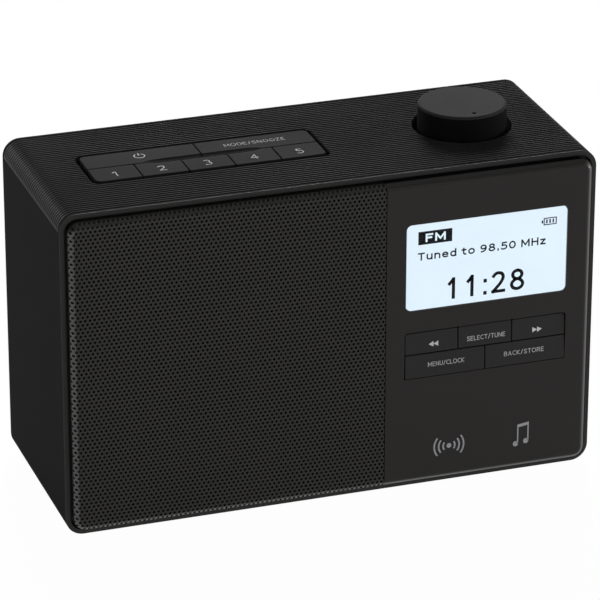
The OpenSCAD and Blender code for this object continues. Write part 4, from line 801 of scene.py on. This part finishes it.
# Each letter's width and lines, in hundredths of its height. A line that starts with ~ is curved.
STROKES = {
    "A": (68, "0,0 31,96; 37,96 68,0; 14,34 54,34"),
    "B": (57, "0,0 0,100; ~0,100 20,100 40,97 52,86 52,68 40,56 20,53 0,53; "
              "~20,53 42,50 57,38 57,16 44,3 20,0 0,0"),
    "C": (62, "~62,88 52,98 38,100 18,93 4,72 0,50 4,28 18,7 38,0 52,2 62,12"),
    "D": (66, "0,0 0,100; ~0,100 18,100 42,96 60,80 66,50 60,20 42,4 18,0 0,0"),
    "E": (50, "50,100 0,100 0,0 50,0; 0,52 44,52"),
    "F": (50, "50,100 0,100 0,0; 0,52 42,52"),
    "H": (62, "0,0 0,100; 62,0 62,100; 0,52 62,52"),
    "K": (58, "0,0 0,100; 56,100 4,46 58,0"),
    "L": (46, "0,100 0,0 46,0"),
    "M": (78, "0,0 0,100; 78,0 78,100; 4,94 39,22 74,94"),
    "N": (64, "0,0 0,100; 4,94 60,6; 64,0 64,100"),
    "O": (76, "~38,100 14,90 0,64 0,36 14,10 38,0 62,10 76,36 76,64 62,90 38,100"),
    "R": (60, "0,0 0,100; ~0,100 20,100 42,96 54,84 54,66 42,53 20,50 0,50; 30,50 60,0"),
    "S": (56, "~54,87 42,98 28,100 12,95 4,80 8,64 22,55 38,47 52,35 56,20 "
              "46,5 28,0 12,2 0,13"),
    "T": (60, "0,100 60,100; 30,100 30,0"),
    "U": (60, "~0,100 0,60 0,30 8,8 30,0 52,8 60,30 60,60 60,100"),
    "Z": (58, "3,100 56,100; 52,92 4,8; 0,0 58,0"),
    "e": (53, "0,38 53,38; ~53,38 47,60 28,71 8,62 0,38 6,12 28,0 50,7"),
    "o": (56, "~28,71 10,64 0,46 0,26 10,7 28,0 46,7 56,26 56,46 46,64 28,71"),
    "t": (34, "~12,92 12,60 12,22 18,4 34,2; -6,69 34,69"),
    "d": (52, "~50,50 40,66 24,71 8,60 0,36 8,10 24,0 40,6 50,22; 52,104 52,0"),
    "n": (50, "0,0 0,71; ~0,44 10,65 28,71 44,63 50,44 50,0"),
    "u": (50, "~0,71 0,26 6,7 22,0 40,6 50,26; 50,71 50,0"),
    "z": (46, "0,69 44,69; 40,62 4,7; 0,0 46,0"),
    "0": (58, "~29,100 10,88 0,62 0,38 10,12 29,0 48,12 58,38 58,62 48,88 29,100"),
    "1": (30, "0,76 20,95; 26,100 26,0"),
    "2": (56, "~2,85 12,96 27,100 44,95 52,80 49,62 36,40 16,18 0,0; 0,0 56,0"),
    "3": (54, "~4,92 16,99 28,100 43,95 50,80 46,64 34,55 18,53; "
              "~18,53 38,50 52,38 53,20 44,5 26,0 12,1 0,8"),
    "4": (62, "46,0 46,100; 43,95 3,31; 0,30 62,30"),
    "5": (54, "50,100 9,100 7,58; ~7,58 22,62 40,58 52,46 54,28 46,10 30,1 14,0 0,8"),
    "8": (58, "~29,100 12,94 5,78 12,62 29,54 46,62 53,78 46,94 29,100; "
              "~29,54 10,45 0,27 8,8 29,0 50,8 58,27 48,45 29,54"),
    "9": (56, "~50,60 40,49 26,45 10,50 1,68 5,88 18,98 32,100 48,90 55,68 52,40 "
              "42,18 26,5 6,0"),
    "/": (38, "0,-8 38,106"),
    ".": (8, "4,-4 4,10"),
}


def curved(points, steps=4):
    """A smooth line through the points, closed where the last is the first."""
    ring = (points[0] - points[-1]).length < 1e-6
    first = points[-2] if ring else 2 * points[0] - points[1]
    last = points[1] if ring else 2 * points[-1] - points[-2]
    line = []
    spans = [first] + points + [last]
    for a, b, c, d in zip(spans, spans[1:], spans[2:], spans[3:]):
        for t in (k / steps for k in range(steps)):
            line.append(0.5 * (
                2 * b + (c - a) * t + (2 * a - 5 * b + 4 * c - d) * t * t
                + (3 * b - a - 3 * c + d) * t ** 3
            ))
    return line + [points[-1]]


def stroke(line, width):
    """A printed line of one width along points in millimetres, as a thin mesh in the XY plane."""
    rings = []
    line = list(line)
    line[0] = line[0] - (line[1] - line[0]).normalized() * width / 2
    line[-1] = line[-1] + (line[-1] - line[-2]).normalized() * width / 2
    for k, point in enumerate(line):
        back = (point - line[k - 1]).normalized() if k else None
        ahead = (line[k + 1] - point).normalized() if k + 1 < len(line) else None
        back, ahead = back or ahead, ahead or back
        way = (back + ahead).normalized()
        side = Vector((-way.y, way.x)) * (width / 2 * min(1 / max(way.dot(back), 0.1), 1.6))
        a, b, h = point + side, point - side, PRINT / 2
        rings.append([(a.x, a.y, -h), (b.x, b.y, -h), (b.x, b.y, h), (a.x, a.y, h)])
    return skin(rings)


def drawn(text, x0, x1, v0, v1, plane, depth, width, gap=0.24):
    """Printed letters or digits in strokes of one width, fitted to a box on the front or on top."""
    lines, at = [], 0.0
    for sign in text:
        if sign == " ":
            at += WORD_GAP
            continue
        wide, paths = STROKES[sign]
        for path in paths.split(";"):
            points = [Vector([int(c) / 100 for c in p.split(",")]) for p in path.strip(" ~").split()]
            line = curved(points) if "~" in path else points
            lines.append([p + Vector((at, 0)) for p in line])
        at += wide / 100 + gap
    across = (x1 - x0 - width) / (at - gap)
    up = v1 - v0 - width
    start = Vector((x0 + width / 2, v0 + width / 2))
    return [
        laid(stroke([start + Vector((p.x * across, p.y * up)) for p in line], width), plane, depth)
        for line in lines
    ]


def mark(points, plane, depth):
    """A printed mark with this outline, on the front (XZ) or on top (XY)."""
    if sum(a[0] * b[1] - b[0] * a[1] for a, b in zip(points, points[1:] + points[:1])) < 0:
        points = points[::-1]
    n = len(points)
    mesh = bpy.data.meshes.new("mark")
    mesh.from_pydata(
        [(x, v, h) for h in (-PRINT / 2, PRINT / 2) for x, v in points], [],
        [tuple(range(n))[::-1], tuple(range(n, 2 * n))]
        + [(k, (k + 1) % n, n + (k + 1) % n, n + k) for k in range(n)],
    )
    return laid(mesh, plane, depth)


def arc_mark(cx, cv, radius, width, start, end, steps, plane, depth):
    """A printed piece of a ring, from one angle to another in degrees."""
    turns = [math.radians(start + (end - start) * k / steps) for k in range(steps + 1)]
    outer, inner = (
        [(cx + r * math.cos(t), cv + r * math.sin(t)) for t in turns]
        for r in (radius + width / 2, radius - width / 2)
    )
    return mark(outer + inner[::-1], plane, depth)


def bar_mark(x0, x1, v0, v1, plane, depth):
    """A printed bar."""
    return mark([(x0, v0), (x1, v0), (x1, v1), (x0, v1)], plane, depth)


def window_ring(inset, y):
    """The window's outline at one depth, with room for it in the panel's opening."""
    return round_ring("XZ", *window, WINDOW_R, y, 10, inset + COVER_GAP)


acrylic, shader, where = surface(
    "clear_acrylic", (0.98, 0.99, 1.0), 0.08, 0.5, Transmission_Weight=1.0, IOR=1.16
)
bumped(shader, noise(where, 300.0), 0.02, 0.00002)
cover = solid("display_window", [window_ring(0, y_front + COVER)] + [
    window_ring(inset, y_front + drop) for inset, drop in rounding(COVER_EDGE, 3)
])
finished(cover, "display_lens", acrylic)

lit_picture, shader, where = surface("lit_picture", (0.10, 0.11, 0.12), 0.6, 0.1, Emission_Strength=1.0)
mottled(shader, noise(where, 40.0), (0.68, 0.80, 0.89), (0.70, 0.82, 0.91), "Emission Color")
y_picture = y_front + COVER + PICTURE_GAP
y_seat = lens_hi.y - SEAT_T
seat = ("XZ", lens_lo.x, lens_hi.x, lens_lo.z, lens_hi.z, WINDOW_R)
picture = solid("display_picture", [
    window_ring(0.0, y_picture), window_ring(0.0, y_seat),
    round_ring(*seat, y_seat, 10), round_ring(*seat, lens_hi.y, 10),
])
finished(picture, "display_lens", lit_picture)

crystal_ink, shader, where = surface("crystal_ink", (0.003, 0.004, 0.006), 0.5, 0.08)
mottled(shader, noise(where, 900.0), (0.002, 0.003, 0.005), (0.004, 0.005, 0.007))


def in_picture(left, right, low, high, proud=0.02):
    """A place in the picture, whose middle lies a touch right of and below the window's."""
    return left + ASIDE, right + ASIDE, low + BELOW, high + BELOW, "XZ", y_picture - proud


parts = drawn("Tuned to 98.50 MHz", *in_picture(32.2, 83.6, 96.15, 99.3), 0.58, gap=0.36)
parts.append(bar_mark(*in_picture(32.3, 45.8, 102.5, 107.8)))
for digit, left, right in (
    ("1", 44.45, 47.55), ("1", 51.95, 55.0), ("2", 62.05, 67.6), ("8", 69.5, 75.3),
):
    parts += drawn(digit, *in_picture(left, right, 78.75, 87.55), 1.3)
for low, high in ((78.65, 80.15), (83.65, 85.15)):
    parts.append(bar_mark(*in_picture(58.75, 60.1, low, high)))
for left, right, low, high in (
    (-2.3, 3.0, 1.1, 1.5), (-2.3, 3.0, -1.5, -1.1), (-2.3, -1.9, -1.1, 1.1), (2.6, 3.0, -1.1, 1.1),
    (-3.1, -2.5, -0.6, 0.6), (-1.3, -0.7, -0.8, 0.8), (0.0, 0.6, -0.8, 0.8), (1.3, 1.9, -0.8, 0.8),
):
    x, z = BATTERY
    parts.append(bar_mark(*in_picture(x + left, x + right, z + low, z + high)))
printed("display_segments", parts, crystal_ink, "display_lens")
parts = drawn("FM", *in_picture(35.2, 43.2, 103.45, 106.8, 0.05), 0.75, gap=0.36)
printed("display_band_letters", parts, lit_picture, "display_lens")

# ---------------------------------------------------------------- display module and front board
# The liquid-crystal module stands on the front board behind the window, in a white frame that
# spreads its light. The board also carries five small switches, and a flat ribbon joins it to the
# main board.

board_mask, shader, where = surface("board_mask", srgb("134f35"), 0.35, 0.4)
side, back, up = (
    Amount(axis) for axis in add_node(shader.id_data, "ShaderNodeSeparateXYZ", (where,)).outputs
)
flat = add_node(shader.id_data, "ShaderNodeCombineXYZ", (side, back + up))
tracks = add_node(shader.id_data, "ShaderNodeTexBrick", {
    "Scale": 160.0, "Mortar Size": 0.035, "Color1": (*srgb("124a32"), 1),
    "Color2": (*srgb("155438"), 1), "Mortar": (*srgb("2b7a52"), 1), "Vector": flat.outputs[0],
})
feed(shader.inputs["Base Color"], tracks.outputs["Color"])
bumped(shader, tracks.outputs["Fac"], 0.2, 0.00003)

switch_plastic = moulded("switch_plastic", "8a8a8a", 0.45, 0.4, 0.08, 0.3, 0.08)
ribbon_film, shader, where = surface("ribbon_film", srgb("d5d5cf"), 0.4, 0.35)
wires = wave(where, "X", 1.0)
tinted(shader, wires, srgb("a9a9a2"), srgb("dcdcd6"))
bumped(shader, wires, 0.3, 0.00005)
coated(moulded("display_frame", "dfe4e8", 0.5, 0.3, 0.05, 0.4, 0.03), "lcd_module")
coated(board_mask, "front_board")
coated(switch_plastic, "front_switches")
coated(ribbon_film, "front_ribbon", "top_ribbon")

# ---------------------------------------------------------------- front keys
# Three upper and two lower keys, moulded in the panel's plastic and printed in grey. Their faces
# lean in together: flush with the panel at the bottom and sunk at the top of their field.

LEAN = 0.9
KEY_EDGE = 0.18
CAP_DEPTH = 1.3
TOP_GAP, LEFT_GAP = 0.75, 0.3
CORNER_R = 0.25
UPPER_MIDDLE = 60.95
LETTER_HALF = 0.92
ARROW_LEN, ARROW_HALF = 1.95, 1.1
WAVE_X, WAVE_Z = 46.0, 17.5
NOTE_X, NOTE_Z = 75.6, 17.6


def leaning(z):
    """How far the keys' faces lie behind the panel's face at this height."""
    return LEAN * (z - field[2]) / (field[3] - field[2])


def leaned(mesh):
    """Leans a mesh made in the panel's face back onto the keys' leaning faces."""
    for vertex in mesh.vertices:
        vertex.co.y += leaning(vertex.co.z * 1000) / 1000
    return mesh


def corner_radii(large, small, outer=None):
    """The radii of a key's corners, large at the field's outer corner and small at the others."""
    return tuple(large if k == outer else small for k in range(4))


def recapped(node, rings, old_cap):
    """A key with a new cap through rings, on what is left of the CAD key without its old one."""
    rest = combine(copy_of(node, "rest"), [slab(*old_cap)])
    return combine(solid(node + "_cap", rings), [rest], "UNION")


def ink(name, code):
    """Pad-printed ink, a little uneven where it lies thin."""
    made, shader, where = surface(name, srgb(code), 0.6, 0.1)
    mottled(shader, noise(where, 2500.0, 3.0), *shades(srgb(code), 0.85, 1.12))
    return made


key_plastic = moulded("key_plastic", "222020", 0.42, 0.17, 0.06, 0.3, 0.06)
grey_ink = ink("grey_ink", "c4c4c4")
light_ink = ink("light_grey_ink", "d8d8d8")

for node, outer in (
    ("key_previous", 1), ("key_select", None), ("key_next", 0), ("key_menu", None), ("key_back", None),
):
    low, high = box_of(node)
    corners = corner_radii(FIELD_R, CORNER_R, outer)
    top = min(high.z, field[3]) - TOP_GAP if low.z > back_hi.z - 0.1 else back_hi.z
    left = low.x + LEFT_GAP if low.x < field[0] + 0.1 else low.x
    rings = [round_ring("XZ", left, high.x, low.z, top, corners, y_front + CAP_DEPTH, 6)]
    for inset, drop in rounding(KEY_EDGE, 3):
        ring = round_ring("XZ", left, high.x, low.z, top, corners, y_front + drop, 6, inset)
        rings.append([(x, y + leaning(z), z) for x, y, z in ring])
    old_cap = (low.x - 1, high.x + 1, y_front - 1, y_front + CAP_DEPTH, low.z - 3, high.z + 1)
    finished(recapped(node, rings, old_cap), node, key_plastic, 30)

PRINTED = ("XZ", y_front - PRINT / 2 - PRINT_GAP)
for node, text, left, right, middle in (
    ("key_select", "SELECT/TUNE", 52.75, 68.25, UPPER_MIDDLE),
    ("key_menu", "MENU/CLOCK", 37.05, 51.7, 52.72),
    ("key_back", "BACK/STORE", 67.85, 84.1, 52.62),
):
    low, high = middle - LETTER_HALF, middle + LETTER_HALF
    parts = drawn(text, left, right, low, high, *PRINTED, 0.22, gap=0.3)
    printed(node + "_legend", [leaned(part) for part in parts], grey_ink, node)
for node, middle, way in (("key_previous", 39.25, -1), ("key_next", 81.3, 1)):
    parts = []
    for k in (0, 1):
        tip, base = middle + way * k * ARROW_LEN, middle + way * (k - 1) * ARROW_LEN
        arrow = [(tip, 0), (base, ARROW_HALF), (base, -ARROW_HALF)]
        parts.append(leaned(mark([(x, UPPER_MIDDLE + z) for x, z in arrow], *PRINTED)))
    printed(node + "_legend", parts, light_ink, node)

# Behind the keys, a guide plate and one steel pin, on which the two lower keys tip.
coated(inner_plastic, "key_guide")
coated(plated_steel, "tab_key_pin")

# Two small grey marks under the keys: waves for the aerial's bands, and a note for music.
parts = [arc_mark(WAVE_X, WAVE_Z, 0.5, 1.0, 0, 358, 16, *PRINTED)]
for radius in (2.4, 4.2, 6.0):
    for middle in (0, 180):
        parts.append(arc_mark(WAVE_X, WAVE_Z, radius, 0.65, middle - 38, middle + 38, 12, *PRINTED))
for x, z in ((-2.2, -3.6), (2.0, -2.9)):
    parts.append(arc_mark(NOTE_X + x, NOTE_Z + z, 0.55, 1.1, 0, 358, 16, *PRINTED))
for shape in (
    ((-1.6, -3.6), (-1.1, -3.6), (-1.1, 3.2), (-1.6, 3.2)),
    ((2.6, -2.9), (3.1, -2.9), (3.1, 4.0), (2.6, 4.0)),
    ((-1.6, 3.2), (-1.6, 4.4), (3.1, 5.1), (3.1, 3.9)),
):
    parts.append(mark([(NOTE_X + x, NOTE_Z + z) for x, z in shape], *PRINTED))
printed("panel_marks", parts, ink("dark_grey_ink", "aeaeb2"), "control_panel")

# ---------------------------------------------------------------- control frame and top board
# A matt black moulding hangs from the casing's top and carries what is worked from above. Under it
# the top board holds seven small switches and the volume encoder, whose nut clamps it to the frame.

fine(moulded("frame_plastic", "101010", 0.75, 0.05, 0.15, 0.4, 0.08), "control_frame", angle=35)
coated(board_mask, "top_board")
coated(switch_plastic, "top_switches")
coated(plated_steel, "encoder_body", "encoder_nut", "encoder_shaft")

# ---------------------------------------------------------------- top keys
# Seven keys in one pocket of the casing's top: power and snooze behind, five presets in front. A
# shallow finger scoop runs along the seam of the two rows.

CAP_T = 1.8
TOP_EDGE, TOP_R, SEAM_R = 0.22, 2.3, 0.3
SCOOP_W, SCOOP_DEPTH, SCOOP_LEN = 4.6, 0.7, 46.0
SCOOP_FLAT, SCOOP_TAPER, SCOOP_RINGS = 0.55, 0.45, 14
DIGIT_H, DIGIT_MIDDLE, DIGIT_STROKE = 4.5, -9.05, 0.4
POWER_X, POWER_Y = -60.6, 5.2

keys_mid = ((keys_lo.x + keys_hi.x) / 2, (keys_lo.y + keys_hi.y) / 2)
z_face = keys_hi.z
z_cap = z_face - CAP_T


def scoop():
    """The finger scoop's cutter: a long boat with round ends."""
    r = (SCOOP_W ** 2 / 4 + SCOOP_DEPTH ** 2) / (2 * SCOOP_DEPTH)
    rings = []
    for k in range(-SCOOP_RINGS, SCOOP_RINGS + 1):
        into_end = max(0.0, (abs(k) / SCOOP_RINGS - SCOOP_FLAT) / SCOOP_TAPER)
        sunk = max(SCOOP_DEPTH * math.sqrt(max(1 - into_end ** 2, 0.0)), 0.012)
        half = math.sqrt(max(r * r - (r - sunk) ** 2, 0.0))
        turns = [math.asin(half / r) * (j / 8 - 1) for j in range(17)]
        section = [(r * math.sin(a), r - sunk - r * math.cos(a)) for a in turns]
        section += [(half, 2.0), (-half, 2.0)]
        x = keys_mid[0] + SCOOP_LEN / 2 * k / SCOOP_RINGS
        rings.append([(x, keys_mid[1] + y, z_face + z) for y, z in section])
    return solid("scoop", rings)


OUTER = {"key_snooze": 0, "key_power": 1, "key_preset_1": 2, "key_preset_5": 3}
top_key_plastic = moulded("top_key_plastic", "272727", 0.8, 0.012, 0.08, 0.3, 0.06)
for node in ["key_power", "key_snooze"] + [f"key_preset_{k}" for k in range(1, 6)]:
    low, high = box_of(node)
    shape = ("XY", low.x, high.x, low.y, high.y, corner_radii(TOP_R, SEAM_R, OUTER.get(node)))
    rings = [round_ring(*shape, z_cap, 8)] + [
        round_ring(*shape, z_face - drop, 8, inset) for inset, drop in rounding(TOP_EDGE, 4)
    ]
    old_cap = (low.x - 1, high.x + 1, low.y - 1, high.y + 1, z_cap, z_face + 1)
    finished(combine(recapped(node, rings, old_cap), [scoop()]), node, top_key_plastic, 24)

top_ink = ink("top_grey_ink", "727272")
ON_TOP = ("XY", z_face + PRINT / 2 + PRINT_GAP)
digit_rows = (DIGIT_MIDDLE - DIGIT_H / 2, DIGIT_MIDDLE + DIGIT_H / 2)
for digit, x in zip("12345", (-74.25, -56.1, -38.25, -20.1, -2.1)):
    half = (STROKES[digit][0] / 100 * DIGIT_H + DIGIT_STROKE) / 2
    parts = drawn(digit, x - half, x + half, *digit_rows, *ON_TOP, DIGIT_STROKE)
    printed(f"key_preset_{digit}_digit", parts, top_ink, "key_preset_" + digit)
parts = drawn("MODE/SNOOZE", -27.4, -3.4, 3.7, 6.3, *ON_TOP, 0.22, gap=0.34)
printed("key_snooze_legend", parts, top_ink, "key_snooze")
printed("key_power_legend", [
    arc_mark(POWER_X, POWER_Y, 2.0, 0.4, 120, 420, 28, *ON_TOP),
    bar_mark(POWER_X - 0.25, POWER_X + 0.25, POWER_Y + 0.5, POWER_Y + 2.5, *ON_TOP),
], top_ink, "key_power")

# ---------------------------------------------------------------- volume knob
# A hollow knob moulded in black plastic, with a rounded edge and a small finger dimple. It is
# pressed onto the encoder's flat shaft. Its side is coloured darker than its top: painted shade.

knob = copy_of("volume_knob", "volume_knob_satin")
painted(
    knob, moulded("knob_plastic", "323232", 0.8, 0.012, 0.05, 0.25, 0.05),
    moulded("knob_side", "101010", 0.7, 0.02, 0.08, 0.25, 0.05),
)
# Faces that point up take the top's colour; all others take the darker side colour, which is painted
# shade.
for face in knob.data.polygons:
    face.material_index = 0 if face.normal.z > 0.3 else 1
fitted(softened(knob, 28), "volume_knob")

# ---------------------------------------------------------------- main board and battery
# The main board stands behind the control side. It carries the tuner in a tinned shield, the
# capacitors and both sockets, and leads run from it to the speaker and to the sleeved battery.

lead_sleeve = moulded("lead_sleeve", "262626", 0.5, 0.3, 0.05, 0.3, 0.05)
coated(board_mask, "main_board")
coated(plated_steel, "tuner_shield")
coated(moulded("capacitor_sleeve", "2a3560", 0.3, 0.45, 0.04, 0.5, 0.06), "capacitors")
coated(lead_sleeve, "speaker_leads", "battery_leads")
coated(moulded("battery_film", "3b6fab", 0.22, 0.5, 0.05, 1.5, 0.06), "battery_pack")
fine(moulded("socket_plastic", "141414", 0.4, 0.35, 0.05, 0.3, 0.05), "headphone_socket", "dc_socket")

# ---------------------------------------------------------------- rear cover
# One moulded cover closes the casing from behind. Four long screws tie it through to the front
# baffle, and a door over the battery bay is held by two tabs and one screw.

HEAD_R, HEAD_T, HEAD_BEVEL, SHANK_R = 2.4, 1.5, 0.45, 1.1
ROOT = 0.0002
RECESS_LEN, RECESS_W, RECESS_DEPTH = 2.6, 0.6, 0.9

cover_plastic = moulded("cover_plastic", "262626", 0.66, 0.15, 0.35, 0.5, 0.08)
fine(cover_plastic, "rear_cover", "battery_door", angle=35)

screw_tree, given, done = node_group(
    "screws", head_radius=0.0024, head_height=0.0015, bevel=0.0004, shank_radius=0.001, length=0.01,
    recess_length=0.0026, recess_width=0.0006, recess_depth=0.0009, seed=1, material=None,
)


def raised(mesh, z):
    """The mesh lifted by z in the screws' tree."""
    lift = add_node(screw_tree, "ShaderNodeCombineXYZ", {"Z": z})
    shift = {"Geometry": mesh, "Translation": lift.outputs[0]}
    return add_node(screw_tree, "GeometryNodeTransform", shift).outputs[0]


def turned(low, high, z_from, depth, sides):
    """A round block in the screws' tree, standing on a height."""
    return raised(add_node(screw_tree, "GeometryNodeMeshCone", {
        "Vertices": sides, "Radius Bottom": low, "Radius Top": high, "Depth": depth,
    }).outputs["Mesh"], z_from)


shoulder = given.head_height - given.bevel
body, cross = (
    add_node(screw_tree, "GeometryNodeMeshBoolean", operation=operation, solver="MANIFOLD")
    for operation in ("UNION", "DIFFERENCE")
)
for block in (
    turned(given.head_radius, given.head_radius, 0.0, shoulder, 40),
    turned(given.head_radius, given.head_radius - given.bevel, shoulder, given.bevel, 40),
    turned(given.shank_radius, given.shank_radius, given.length * -1.0, given.length + ROOT, 20),
):
    feed(body.inputs["Mesh 2"], block)
feed(cross.inputs["Mesh 1"], body.outputs["Mesh"])
sides = (given.recess_length, given.recess_width)
for wide, deep in (sides, sides[::-1]):
    size = add_node(screw_tree, "ShaderNodeCombineXYZ", (wide, deep, given.recess_depth * 2.0))
    bar = add_node(screw_tree, "GeometryNodeMeshCube", {"Size": size.outputs[0]})
    feed(cross.inputs["Mesh 2"], raised(bar.outputs["Mesh"], given.head_height))
chance = add_node(screw_tree, "FunctionNodeRandomValue", {"Max": 1.5, "Seed": given.seed})
facing = {"X": -math.pi / 2, "Y": chance.outputs["Value"]}
screws = add_node(screw_tree, "GeometryNodeInstanceOnPoints", {
    "Points": given.geometry, "Instance": cross.outputs["Mesh"],
    "Rotation": add_node(screw_tree, "ShaderNodeCombineXYZ", facing).outputs[0],
})
finish_group(screws.outputs[0], given, done)

low, high = box_of("rear_screws")
spots = bpy.data.meshes.new("tie_screws")
spots.from_pydata([
    (x / 1000, (high.y - HEAD_T) / 1000, z / 1000)
    for x in (low.x + HEAD_R, high.x - HEAD_R) for z in (low.z + HEAD_R, high.z - HEAD_R)
], [], [])
ties = grown(
    placed("tie_screws", spots), screw_tree, head_radius=HEAD_R, head_height=HEAD_T, bevel=HEAD_BEVEL,
    shank_radius=SHANK_R, length=high.y - low.y - HEAD_T, recess_length=RECESS_LEN,
    recess_width=RECESS_W, recess_depth=RECESS_DEPTH, seed=4, material=plated_steel,
)
fitted(softened(ties, 30), "rear_screws")
coated(plated_steel, "inner_screws")

# ---------------------------------------------------------------- aerial
# A folding aerial of five chromed brass tubes that slide in each other. A moulded turret turns in
# the rear cover, held by a steel washer, and the aerial tips on a pin through the turret's fork.

chrome = metal("chrome", "dcdcde", 0.12, (1, 12, 12), 0.02)
fine(cover_plastic, "aerial_turret", angle=35)
coated(plated_steel, "aerial_retainer", "aerial_pin")
fine(chrome, "aerial_knuckle", *(f"aerial_tube_{k}" for k in range(1, 6)), angle=35)

low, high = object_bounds()
